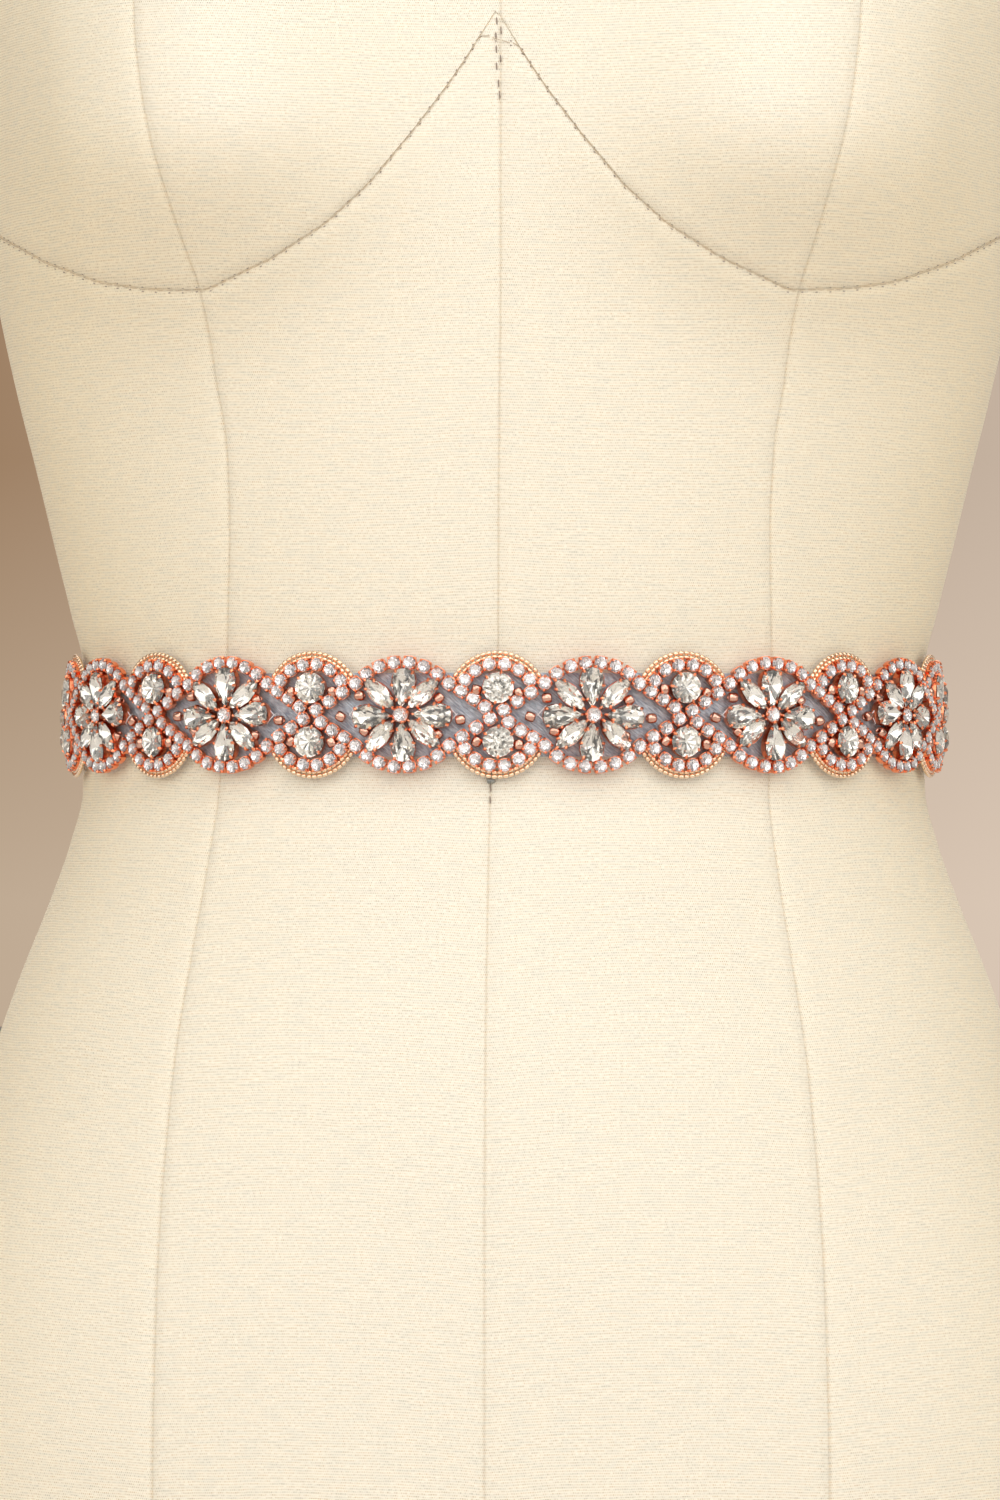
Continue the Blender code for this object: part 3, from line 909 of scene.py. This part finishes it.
def cup_edge(count):
    """A square with round corners, one across."""
    turn = (np.arange(count) + 0.5) * TURN / count
    c, s = np.cos(turn), np.sin(turn)
    size = (np.abs(c) ** 5 + np.abs(s) ** 5) ** (-1 / 5) / 2
    return np.stack([c * size, s * size], axis=-1)


CUP_SIZE = 3.55 * MM
CUP_PITCH = 4.1 * MM


def make_cup(name, size):
    """A square cup with a prong at each corner and half a link at each side."""
    points, faces = [], []
    levels = ((-0.3 * MM, 0.0), (0.0, 0.2 * MM), (0.0, 1.6 * MM), (-0.14 * MM, 1.62 * MM),
              (-0.3 * MM, 1.2 * MM), (-1.0 * MM, 0.15 * MM))
    add_wall(points, faces, cup_edge(12), size, levels)
    for corner in range(4):
        turn = TURN * (corner + 0.5) / 4
        foot = np.array([math.cos(turn), math.sin(turn)]) * (size * 0.53)
        add_prong(points, faces, foot, 1.78 * MM, 0.48 * MM, 0.36 * MM)
    ends = [(-CUP_PITCH / 2, 0.0, 0.7 * MM), (CUP_PITCH / 2, 0.0, 0.7 * MM)]
    add_bar(points, faces, ends, (0.36 * MM, 0.36 * MM), 4)
    return fresh_object(name, points, faces)


PEAR_BOX = make_setting("pear_box", pear_edge, PEAR_LENGTH,
                        (35, 85, 130, 180, 230, 275, 325), 0.1)
MARQUISE_BOX = make_setting("marquise_box", marquise_edge, MARQUISE_LENGTH,
                            (0, 50, 130, 180, 230, 310))
ROUND_BOX = make_setting("round_box", round_edge, ROUND_ACROSS, (0, 60, 120, 180, 240, 300))
CUP = make_cup("cup", CUP_SIZE)
HEART_CUP = make_cup("heart_cup", 4.0 * MM)
print("faces of a cup:", len(CUP.data.polygons))

# %% [markdown]
# ## Beads
#
# Seed beads and the larger copper beads are short tubes with rounded rims.  Each
# is a closed profile turned about the thread, which runs along x.

# %% Turned beads
def turned_bead(name, half_length, radius, hole, sides, corners=3):
    """A rounded tube: outside from end to end, then back through the hole."""
    arc = np.linspace(0, math.pi, corners + 2)
    soft = min(half_length, radius - hole) * 0.55
    outer = [(-half_length, hole + soft * 0.4)]
    for a in arc:
        outer.append((-math.cos(a) * half_length * 0.93,
                      radius - (1 - math.sin(a)) * soft * 0.75))
    outer.append((half_length, hole + soft * 0.4))
    profile = outer + [(half_length * 0.75, hole), (-half_length * 0.75, hole)]
    points = []
    faces = []
    for k in range(sides):
        turn = TURN * k / sides
        for x, r in profile:
            points.append((x, r * math.cos(turn), r * math.sin(turn)))
    count = len(profile)
    for k in range(sides):
        for row in range(count):
            a = k * count + row
            b = k * count + (row + 1) % count
            c = (k + 1) % sides * count
            faces.append((a, b, c + (row + 1) % count, c + row))
    bead = fresh_object(name, points, faces)
    bead.data.shade_smooth()
    return bead


SEED = turned_bead("seed", 0.70 * MM, 0.62 * MM, 0.2 * MM, 8, 2)
COPPER_BEAD = turned_bead("bead", 1.35 * MM, 1.42 * MM, 0.45 * MM, 14, 5)
GREY_BEAD = turned_bead("grey_bead", 1.1 * MM, 1.0 * MM, 0.3 * MM, 12, 4)
print("faces of a seed bead:", len(SEED.data.polygons))

# %% [markdown]
# ## Stitches and threads
#
# A stitch is a short round bar that dips into the cloth at both ends.  The form is
# topstitched under the bust in fine tan thread, and white threads tie the side
# petals of each flower to the net.

# %% Stitch templates
def make_stitch(name, length, radius, dip):
    """A bar along x whose ends dip below the cloth at z = 0."""
    points, faces = [], []
    # along, up and thickness, as shares of the length, the dip and the radius
    steps = ((-0.5, -1.0, 0.6), (-0.36, 0.6, 1.0), (0.0, 1.0, 1.0), (0.36, 0.6, 1.0),
             (0.5, -1.0, 0.6))
    path = [(share * length, 0.0, rise * dip) for share, rise, size in steps]
    add_bar(points, faces, path, [radius * size for share, rise, size in steps], 6)
    stitch = fresh_object(name, points, faces)
    stitch.data.shade_smooth()
    return stitch


def thread_finish(name, colour, dark):
    finish = Finish(name, Roughness=0.8, Sheen_Weight=0.3)
    patch = finish.noise(finish.place(), 1500.0, 2.0)
    finish.feed("Base Color", finish.between(patch, colour, dark))
    return finish


FINE_STITCH = make_stitch("fine_stitch", 2.1 * MM, 0.09 * MM, 0.12 * MM)
HOLE_STITCH = make_stitch("hole_stitch", 0.5 * MM, 0.14 * MM, 0.06 * MM)
DARK_STITCH = make_stitch("dark_stitch", 1.9 * MM, 0.17 * MM, 0.10 * MM)
TIE = make_stitch("tie", 3.9 * MM, 0.13 * MM, 0.5 * MM)
TAN_THREAD = thread_finish("tan_thread", (0.58, 0.44, 0.29), (0.38, 0.28, 0.18))
# dark thread for the front stitches, and painted shade for the needle holes
DARK_THREAD_AND_HOLE_SHADE = thread_finish("dark_thread_and_hole_shade", (0.16, 0.12, 0.10), (0.35, 0.26, 0.20))
WHITE_THREAD = thread_finish("white_thread", (0.93, 0.93, 0.95), (0.80, 0.80, 0.85))
print("faces of a stitch:", len(FINE_STITCH.data.polygons))

# %% [markdown]
# ## Setting pieces on the belt
#
# Hundreds of cups, stones and beads repeat along the belt, so Geometry Nodes place
# them.  One tree sets a template on marked points, each with its own spin.  The
# other threads templates on paths at an even pitch.  Hosts carry the direction that
# their surface faces, so both trees stand each copy on it, lean it a little at
# random so that no two stones flash alike, and end as plain mesh with its finishes.

# %% The two trees
INPUTS = {
    "Template": "NodeSocketObject",
    "Pitch": "NodeSocketFloat",
    "Lean": "NodeSocketFloat",
    "Seed": "NodeSocketInt",
    "Finish": "NodeSocketMaterial",
    "Back finish": "NodeSocketMaterial",
}


def setting_tree(name, on_paths):
    tree = bpy.data.node_groups.new(name, "GeometryNodeTree")
    tree.interface.new_socket("Geometry", in_out="INPUT", socket_type="NodeSocketGeometry")
    for label, kind in INPUTS.items():
        tree.interface.new_socket(label, in_out="INPUT", socket_type=kind)
    tree.interface.new_socket("Geometry", in_out="OUTPUT", socket_type="NodeSocketGeometry")
    board = Board(tree)
    start = tree.nodes.new("NodeGroupInput")
    ask = {socket.name: Wire(board, socket) for socket in start.outputs if socket.name}
    points = ask["Geometry"]
    if on_paths:
        curve = board.node("GeometryNodeMeshToCurve", {0: points})
        count = (board.node("GeometryNodeSplineLength") / ask["Pitch"]).rounded() + 1.0
        points = board.node("GeometryNodeResampleCurve", {"Curve": curve, "Count": count},
                            mode="COUNT")
    facing = board.node("GeometryNodeInputNamedAttribute", {"Name": "facing"},
                        data_type="FLOAT_VECTOR")
    turned = board.node("FunctionNodeAlignRotationToVector", {"Vector": facing}, axis="Z")
    if on_paths:
        tangent = board.node("GeometryNodeInputTangent")
        turned = board.node("FunctionNodeAlignRotationToVector",
                            {"Rotation": turned, "Vector": tangent},
                            axis="X", pivot_axis="Z")
    else:
        turned = board.node("FunctionNodeAlignRotationToVector",
                            {"Rotation": turned, "Vector": (0.0, 0.0, 1.0)},
                            axis="Y", pivot_axis="Z")
    lean = board.node("ShaderNodeCombineXYZ", {0: ask["Lean"], 1: ask["Lean"], 2: 0.0})
    low = board.node("ShaderNodeVectorMath", {0: lean, "Scale": -1.0}, operation="SCALE")
    chance = board.node("FunctionNodeRandomValue",
                        {"Min": low, "Max": lean, "Seed": ask["Seed"]},
                        data_type="FLOAT_VECTOR")
    spin = board.node("GeometryNodeInputNamedAttribute", {"Name": "spin"}, data_type="FLOAT")
    own = board.node("ShaderNodeCombineXYZ", {2: spin})
    for turn in (own, chance):
        step = board.node("FunctionNodeEulerToRotation", {0: turn})
        turned = board.node("FunctionNodeRotateRotation", {0: turned, 1: step},
                            rotation_space="LOCAL")
    template = board.node("GeometryNodeObjectInfo", {"Object": ask["Template"]}, 4)
    copies = board.node("GeometryNodeInstanceOnPoints",
                        {"Points": points, "Instance": template, "Rotation": turned})
    solid = board.node("GeometryNodeRealizeInstances", {0: copies})
    dressed = board.node("GeometryNodeSetMaterial",
                         {"Geometry": solid, "Material": ask["Finish"]})
    behind = board.node("GeometryNodeInputNamedAttribute", {"Name": "backed"},
                        data_type="BOOLEAN")
    foiled = board.node("GeometryNodeSetMaterial",
                        {"Geometry": dressed, "Selection": behind,
                         "Material": ask["Back finish"]})
    end = tree.nodes.new("NodeGroupOutput")
    tree.links.new(foiled.socket, end.inputs[0])
    return tree


ON_POINTS = setting_tree("Set on points", False)
ON_PATHS = setting_tree("Thread on paths", True)


def grow(name, host, tree, template, finish, back=None, pitch=CUP_PITCH, lean=0.0, seed=1):
    """Run a tree on a host mesh and keep the result as a plain piece."""
    values = {"Template": template, "Pitch": pitch, "Lean": lean, "Seed": seed,
              "Finish": finish.material, "Back finish": (back or finish).material}
    base = show(name + "_host", host)
    step = base.modifiers.new("Set", "NODES")
    step.node_group = tree
    for item in tree.interface.items_tree:
        if item.in_out == "INPUT" and item.name in values:
            step[item.identifier] = values[item.name]
    base.update_tag()
    graph = bpy.context.evaluated_depsgraph_get()
    mesh = bpy.data.meshes.new_from_object(base.evaluated_get(graph))
    bpy.data.objects.remove(base, do_unlink=True)
    mesh.name = name
    piece = show(name, mesh)
    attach(piece, "root")
    mesh.calc_loop_triangles()
    print("%-18s %6d triangles" % (name, len(mesh.loop_triangles)))
    return piece


# %% Hosts: marked points and paths
STAND = 2.5 * MM


def motif_numbers(kind):
    every = range(-MOTIFS_EACH_SIDE, MOTIFS_EACH_SIDE + 1)
    return [n for n in every if motif_kind(n) == kind]


def host_mesh(name, places, facing, edges=(), spins=None):
    """Points that carry the direction they face and, if given, a spin."""
    mesh = bpy.data.meshes.new(name)
    mesh.from_pydata([tuple(p) for p in places], list(edges), [])
    layer = mesh.attributes.new("facing", "FLOAT_VECTOR", "POINT")
    layer.data.foreach_set("vector", np.ravel(facing))
    if spins is not None:
        layer = mesh.attributes.new("spin", "FLOAT", "POINT")
        layer.data.foreach_set("value", spins)
    return mesh


def on_belt(marks):
    """Places on the belt and the directions they face."""
    places = wrap(marks[:, 0], marks[:, 1], STAND + marks[:, 2])
    return places, wrap(marks[:, 0], marks[:, 1], STAND + marks[:, 2] + 1.0) - places


def point_host(name, marks):
    """marks: length along the belt, height, distance from the net, spin."""
    marks = np.array(marks)
    places, facing = on_belt(marks)
    return host_mesh(name, places, facing, spins=marks[:, 3])


def path_edges(sizes):
    """Edges that join each run of points to a path."""
    edges = []
    start = 0
    for size in sizes:
        edges.extend((start + k, start + k + 1) for k in range(size - 1))
        start += size
    return edges


def path_host(name, paths):
    """paths: lists of (length along, height, distance from the net)."""
    places, facing = on_belt(np.vstack([np.array(path) for path in paths]))
    return host_mesh(name, places, facing, path_edges([len(path) for path in paths]))


print("flowers:", len(motif_numbers("flower")), "doubles:", len(motif_numbers("double")))

# %% [markdown]
# ## Stones of the motifs
#
# A flower has four pears on the axes, four marquises between them and one small
# stone in the middle.  A double has two round stones.  They were set by hand, so
# every stone is off its mark by a few tenths of a millimetre and a few degrees.

# %% Large stones
CHANCE = np.random.default_rng(11)
# how far the middle of a stone is from the middle of its motif
SIDE_PEAR_DISTANCE = 8.2 * MM
UPRIGHT_PEAR_DISTANCE = 7.1 * MM
MARQUISE_DISTANCE = 7.8 * MM
MARQUISE_TURN = math.radians(42)
ROUND_HEIGHT = 7.05 * MM
HAND_TURN = 4             # degrees that a hand-set stone may be off
HAND_SHIFT = 0.25 * MM


def off_by(reach):
    """How far a piece set by hand is off its mark."""
    return CHANCE.uniform(-reach, reach)


def around_flower(distance, turns):
    marks = []
    for number in motif_numbers("flower"):
        for turn in turns:
            off = turn + math.radians(off_by(HAND_TURN))
            away = distance + off_by(HAND_SHIFT)
            spin = off + math.radians(off_by(HAND_TURN))
            lift = CHANCE.uniform(-0.15, 0.25) * MM
            marks.append((number * PITCH + away * math.cos(off), away * math.sin(off),
                          lift, spin))
    return marks


pear_marks = around_flower(SIDE_PEAR_DISTANCE, (0.0, math.pi))
pear_marks += around_flower(UPRIGHT_PEAR_DISTANCE, (TURN / 4, -TURN / 4))
slants = [MARQUISE_TURN, math.pi - MARQUISE_TURN, math.pi + MARQUISE_TURN, -MARQUISE_TURN]
marquise_marks = around_flower(MARQUISE_DISTANCE, slants)
round_marks = [(n * PITCH + off_by(0.3) * MM, side * ROUND_HEIGHT, 0.0,
                CHANCE.uniform(0, 1)) for n in motif_numbers("double") for side in (1, -1)]
heart_marks = [(n * PITCH, 0.0, 1.0 * MM, CHANCE.uniform(0, 1.5))
               for n in motif_numbers("flower")]

LEAN = math.radians(5)
for title, kind, marks, stone, box, seed in (
        ("pears", "flower", pear_marks, PEAR, PEAR_BOX, 3),
        ("marquises", "flower", marquise_marks, MARQUISE, MARQUISE_BOX, 4),
        ("rounds", "double", round_marks, ROUND, ROUND_BOX, 5),
        ("hearts", "flower", heart_marks, HEART, HEART_CUP, 9)):
    small = title == "hearts"
    glass, back = (CLEAR, ROSE_FOIL) if small else (CRYSTAL, FOIL)
    nodes = ["%s_%d" % (kind, k + 1) for k in range(len(motif_numbers(kind)))]
    for piece in (
            grow(title, point_host(title, marks), ON_POINTS, stone, glass, back,
                 lean=LEAN, seed=seed),
            grow(title + "_settings", point_host(title, marks), ON_POINTS, box, COPPER,
                 lean=LEAN, seed=seed)):
        if not small:
            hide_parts(*nodes)

# %% White ties of the side petals
TIE_REACH = 13.3 * MM
TIE_TURN = math.radians(42)
tie_marks = []
for number in motif_numbers("flower"):
    for side in (1, -1):
        for slant in (1, -1):
            tie_marks.append((number * PITCH + side * TIE_REACH, slant * 1.1 * MM, 0.6 * MM,
                              -side * slant * (TURN / 4 - TIE_TURN)))
ties = grow("white_ties", point_host("ties", tie_marks), ON_POINTS, TIE, WHITE_THREAD, seed=6)

# %% [markdown]
# ## Cup chain
#
# Two chains cross at every double and part round every flower.  One chain passes
# over the other without a break.  The lower one is cut, three cups to a side.

# %% Chains
# arcs: radius, height of the centre, half turn
FLOWER_ARC = (16.7 * MM, -2.9 * MM, math.asin(12.5 / 16.7))
DOUBLE_ARC = (10.5 * MM, 2.9 * MM, math.radians(54))
# where the chains of two motifs meet, from the middle of the double
JUNCTION = (12.5 * MM, 8.15 * MM)
# ends of the straight chains, as shares of the way from there to a junction
WHOLE_END, CUT_START, CUT_END = 5 / 7, 3.6 / 14.92, 0.755
WHOLE_RISE = 0.25 * MM
CHAIN_LEAN, CHAIN_SEED = 0.06, 8


def arc(number, shape, side, out=0.0, steps=24):
    """Points of an arc over or under the middle of a motif."""
    radius, centre, half = shape
    turns = np.linspace(-half, half, steps)
    return [(number * PITCH + radius * math.sin(t), side * (centre + radius * math.cos(t)), out)
            for t in turns]


def straight(number, start, end, out=0.0, steps=8):
    return [(number * PITCH + JUNCTION[0] * t * start[0], JUNCTION[1] * t * start[1], out)
            for t in np.linspace(end[0], end[1], steps)]


chain_paths = []
for number in motif_numbers("flower"):
    chain_paths += [arc(number, FLOWER_ARC, 1), arc(number, FLOWER_ARC, -1)]
for number in motif_numbers("double"):
    chain_paths += [arc(number, DOUBLE_ARC, 1), arc(number, DOUBLE_ARC, -1)]
    first = -1.0 if number == -MOTIFS_EACH_SIDE else -WHOLE_END
    last = 1.0 if number == MOTIFS_EACH_SIDE else WHOLE_END
    chain_paths.append(straight(number, (1, 1), (first, last), WHOLE_RISE))
    for side in (-1, 1):
        outer = 1.0 if number == side * MOTIFS_EACH_SIDE else CUT_END
        chain_paths.append(straight(number, (side, -side), (CUT_START, outer)))

cups = grow("cup_chain", path_host("cups", chain_paths), ON_PATHS, CUP, COPPER,
            lean=CHAIN_LEAN, seed=CHAIN_SEED)
chatons = grow("chatons", path_host("chatons", chain_paths), ON_PATHS, CHATON, CLEAR,
               ROSE_FOIL, lean=CHAIN_LEAN, seed=CHAIN_SEED)

# %% [markdown]
# ## Seed bead edging and copper beads
#
# Two rows of champagne seed beads run outside the arcs of every double.  Larger
# copper beads fill the corners beside the stones, each a little off its mark.

# %% Beads on the belt
# the two rows, as arcs
EDGING_ROWS = ((13.1 * MM, 3.2 * MM, math.radians(63)), (11.95 * MM, 3.2 * MM, math.radians(59)))
EDGING_LIFT = 0.35 * MM
SEED_PITCH = 1.48 * MM
BEAD_LIFT = 1.1 * MM
BEAD_SHIFT, BEAD_TURN = 0.4, 25  # how far a bead may be off (mm, degrees)
# beside the middle of each kind of motif: along, up, spin (mm, degrees)
FLOWER_BEADS = ((-11.6, 4.6, 10), (-10.2, -4.3, -20), (9.5, 4.1, 25), (9.1, -5.6, 60))
DOUBLE_BEADS = ((5.8, 6.1, 90), (-5.3, 6.4, 80), (-5.5, -7.3, 70), (5.6, -7.6, 95),
                (-9.4, -1.2, 15), (8.6, -0.4, -10))

edging = []
for number in motif_numbers("double"):
    for side in (1, -1):
        edging += [arc(number, row, side, EDGING_LIFT, 40) for row in EDGING_ROWS]
seeds = grow("seed_beads", path_host("edging", edging), ON_PATHS, SEED, GOLD_GLASS,
             pitch=SEED_PITCH, lean=0.12, seed=21)

bead_marks = []
for kind, layout in (("flower", FLOWER_BEADS), ("double", DOUBLE_BEADS)):
    for number in motif_numbers(kind):
        for along, up, spin in layout:
            bead_marks.append((number * PITCH + (along + off_by(BEAD_SHIFT)) * MM,
                               (up + off_by(BEAD_SHIFT)) * MM, BEAD_LIFT,
                               math.radians(spin + off_by(BEAD_TURN))))
beads = grow("copper_beads", point_host("beads", bead_marks), ON_POINTS, COPPER_BEAD,
             ROSE_GLASS, lean=0.15, seed=23)

# %% [markdown]
# ## Stitching on the form
#
# The seam under the bust is sewn in fine tan stitches that follow its row of the
# form's grid, with needle holes to both sides.  A short run of dark hand stitches
# closes the centre front above it, and two more stand with a grey knot under the
# middle of the belt.

# %% Stitches
FINE_PITCH = 2.75 * MM
HOLE_PITCH = 4.1 * MM
HOLE_OFFSET = 0.6
# distance from the centre, height from the belt line (mm)
DARK_STITCHES = np.array(((0.1, 181.0), (1.2, 178.5), (-0.1, 177.0), (0.0, 173.5),
                          (0.1, 169.0), (1.1, 171.0), (0.6, 164.5), (0.9, 161.5),
                          (-1.8, -19.3), (-1.9, -22.4)))
KNOT = (-1.7, -17.2)
CENTRE_FRONT = 4 * PER_PANEL  # its column in the form's grid

seam_columns = np.where(BUST_FRONT)[0]
seam_columns = seam_columns[(seam_columns % PER_PANEL > 1)
                            & (seam_columns % PER_PANEL < PER_PANEL - 1)]
breaks = np.where(np.diff(seam_columns) > 4)[0] + 1
runs = [run for run in np.split(seam_columns, breaks) if len(run) > 3]


def seam_host(name, rise, row_shift):
    """Paths beside the seam: row_shift millimetres above it, rise off the cloth."""
    places, facing = [], []
    for run in runs:
        here = FORM_GRID[BUST_ROW, run] + FORM_NORMAL[BUST_ROW, run] * (SEAM_DEPTH + rise)
        here[:, 2] += row_shift
        places.extend(here * MM)
        facing.extend(FORM_NORMAL[BUST_ROW, run])
    return host_mesh(name, places, facing, path_edges([len(run) for run in runs]))


fine = grow("bust_stitches", seam_host("fine", -0.05, 0.0), ON_PATHS, FINE_STITCH, TAN_THREAD,
            pitch=FINE_PITCH, lean=0.05, seed=31)
# painted shade: the needle holes are tiny dark bars whose colour stands in for the shade inside
# the holes
holes = [grow("needle_holes_%d" % (k + 1), seam_host("holes", 0.0, shift), ON_PATHS,
              HOLE_STITCH, DARK_THREAD_AND_HOLE_SHADE, pitch=HOLE_PITCH, lean=0.6, seed=32 + k)
         for k, shift in enumerate((HOLE_OFFSET, -HOLE_OFFSET))]


def front_host(name, marks, spin):
    """Points on the front of the form; marks: distance from the centre, height (mm)."""
    marks = np.array(marks)
    height = marks[:, 1] + BELT_Z / MM
    middle = FORM_GRID[:, CENTRE_FRONT]
    depth = np.interp(height, middle[:, 2], middle[:, 1]) - SEAM_DEPTH
    places = np.column_stack([marks[:, 0], depth, height]) * MM
    return host_mesh(name, places, np.tile((0.0, -1.0, 0.0), (len(marks), 1)),
                     spins=np.full(len(marks), spin))


dark = grow("front_stitches", front_host("dark", DARK_STITCHES, TURN / 4 + 0.06), ON_POINTS,
            DARK_STITCH, DARK_THREAD_AND_HOLE_SHADE, lean=0.08, seed=35)
knot = grow("front_knot", front_host("knot", [KNOT], 0.1), ON_POINTS, GREY_BEAD, GREY_METAL,
            seed=36)

# %% [markdown]
# ## Clear away the templates
#
# The templates have done their work.  What stays are plain meshes with their place
# in their points.

# %% Remove templates
for spare in (PEAR, MARQUISE, ROUND, CHATON, HEART, PEAR_BOX, MARQUISE_BOX, ROUND_BOX, CUP,
              HEART_CUP, SEED, COPPER_BEAD, GREY_BEAD, FINE_STITCH, HOLE_STITCH,
              DARK_STITCH, TIE):
    bpy.data.objects.remove(spare, do_unlink=True)

# %% [markdown]
# ## Floor, light and camera
#
# Soft boxes stand in front, to the sides, above and behind, with a dim room between
# them, because cut stones show what stands round them: bright boxes give the flashes
# and the gaps give the grey facets.  The side boxes are kept clear of the floor, and
# the wall stands far enough back to be behind a camera at the back of the form.  The
# camera is level with the belt, 1.8 m away, a degree to the right of its middle.

# %% Floor and backdrop
STAGE_REACH = 9.0
FLOOR_FAR_EDGE = 4.2  # hidden behind the form in the photograph's view
FLOOR_FADE = 5.0      # square of the distance at which the floor is darkest
WALL_Y, WALL_FOOT, WALL_TOP = 6.5, -1.0, 7.0
# the wall's painted light and shade change below this height and round this place, over these
# lengths
FADE_FROM_Z, FADE_HEIGHT = 0.60, 0.54
FADE_MIDDLE_X, FADE_WIDTH = -0.126, 1.22


def shaded_floor_finish():
    """A pale floor with painted shade, which grows darker away from the form, near the lamps."""
    finish = Finish("floor", Roughness=0.9)
    x, y, z = finish.parts(finish.place())
    # painted shade: darker away from the form, near the lamps
    away = ((x * x + y * y) / FLOOR_FADE).least(1.0)
    finish.feed("Base Color", finish.between(away, (0.78, 0.74, 0.70), (0.56, 0.53, 0.50)))
    return finish


def glowing_wall_finish():
    """A glowing sheet whose light is painted in: darker behind the left shoulder and towards the
    top, paler towards the right and the bottom.
    """
    finish = Finish("wall", Base_Color=(0.0, 0.0, 0.0, 1.0), Specular_IOR_Level=0.0,
                    Emission_Strength=1.0)
    x, y, z = finish.parts(finish.place())
    # painted light and shade: darker towards the top and on the left, paler towards the bottom
    # and the right
    down = ((FADE_FROM_Z - z) / FADE_HEIGHT).held()
    across = ((x - FADE_MIDDLE_X) / FADE_WIDTH + 0.5).held()
    left = finish.between(down, (0.347, 0.223, 0.133), (0.527, 0.407, 0.296))
    right = finish.between(down, (0.552, 0.440, 0.347), (0.693, 0.564, 0.455))
    finish.feed("Emission Color", finish.between(across, left, right))
    return finish


def sheet_of(name, corners, finish):
    item = fresh_object(name, corners, [(0, 1, 2, 3)])
    item.data.materials.append(finish.material)


sheet_of("floor", [(x, y, 0.0) for x, y in (
    (-STAGE_REACH, -STAGE_REACH), (STAGE_REACH, -STAGE_REACH),
    (STAGE_REACH, FLOOR_FAR_EDGE), (-STAGE_REACH, FLOOR_FAR_EDGE))], shaded_floor_finish())
sheet_of("backdrop", [(x, WALL_Y, z) for x, z in (
    (-STAGE_REACH, WALL_FOOT), (STAGE_REACH, WALL_FOOT),
    (STAGE_REACH, WALL_TOP), (-STAGE_REACH, WALL_TOP))], glowing_wall_finish())
print("staged: floor and backdrop")

# %% Lights
AIM = Vector((0.0, 0.0, BELT_Z))
LAMP_DISTANCE = 2.6


def soft_box(name, across, up, size, power, height=None, colour=(1.0, 0.985, 0.96)):
    """A flat light that faces the belt from a number of degrees across and up."""
    light = bpy.data.lights.new(name, "AREA")
    light.shape = "RECTANGLE"
    light.size = size
    light.size_y = height or size
    light.energy = power
    light.color = colour
    lamp = show(name, light)
    across, up = math.radians(across), math.radians(up)
    arm = Vector((math.sin(across) * math.cos(up), -math.cos(across) * math.cos(up),
                  math.sin(up)))
    lamp.location = AIM + arm * LAMP_DISTANCE
    lamp.rotation_euler = (-arm).to_track_quat("-Z", "Y").to_euler()
    lamp.visible_camera = False


soft_box("key", 38, 26, 2.3, 24)
soft_box("fill", -40, 20, 2.2, 19.5)
soft_box("front", -4, 16, 1.1, 9)
soft_box("over", 6, 54, 1.8, 20)
soft_box("right", 66, 12, 1.5, 6.3, height=0.8)
soft_box("left", -68, 13, 1.5, 5.9, height=0.8, colour=(1.0, 0.90, 0.74))
soft_box("back", 180, 42, 2.2, 20)

room = bpy.data.worlds.new("room")
room.use_nodes = True
dim = room.node_tree.nodes["Background"].inputs
dim["Color"].default_value = (0.95, 0.94, 0.92, 1.0)
dim["Strength"].default_value = 0.27
bpy.context.scene.world = room
bpy.context.scene.view_settings.view_transform = "Standard"

# %% Camera
CAMERA_DISTANCE = 1.8
CAMERA_TURN = math.radians(1.1)
BELT_FRONT = 97 * MM
METRES_PER_PIXEL = 0.2618 * MM
PHOTO_HEIGHT = 1500
PHOTO_BELT_ROW = 714.5
AXIS_RIGHT_OF_MIDDLE = 4
SENSOR = 36.0

view_height = PHOTO_HEIGHT * METRES_PER_PIXEL
camera_data = bpy.data.cameras.new("camera")
camera_data.sensor_fit = "VERTICAL"
camera_data.sensor_height = SENSOR
camera_data.lens = SENSOR * CAMERA_DISTANCE / view_height
camera_data.clip_start = 0.05
camera = show("camera", camera_data)
camera_z = BELT_Z - (PHOTO_HEIGHT / 2 - PHOTO_BELT_ROW) * METRES_PER_PIXEL
reach = CAMERA_DISTANCE + BELT_FRONT
camera.location = (reach * math.sin(CAMERA_TURN) - AXIS_RIGHT_OF_MIDDLE * METRES_PER_PIXEL,
                   -reach * math.cos(CAMERA_TURN), camera_z)
camera.rotation_euler = (math.pi / 2, 0.0, CAMERA_TURN)
bpy.context.scene.camera = camera
print("lens: %.0f mm" % camera_data.lens)
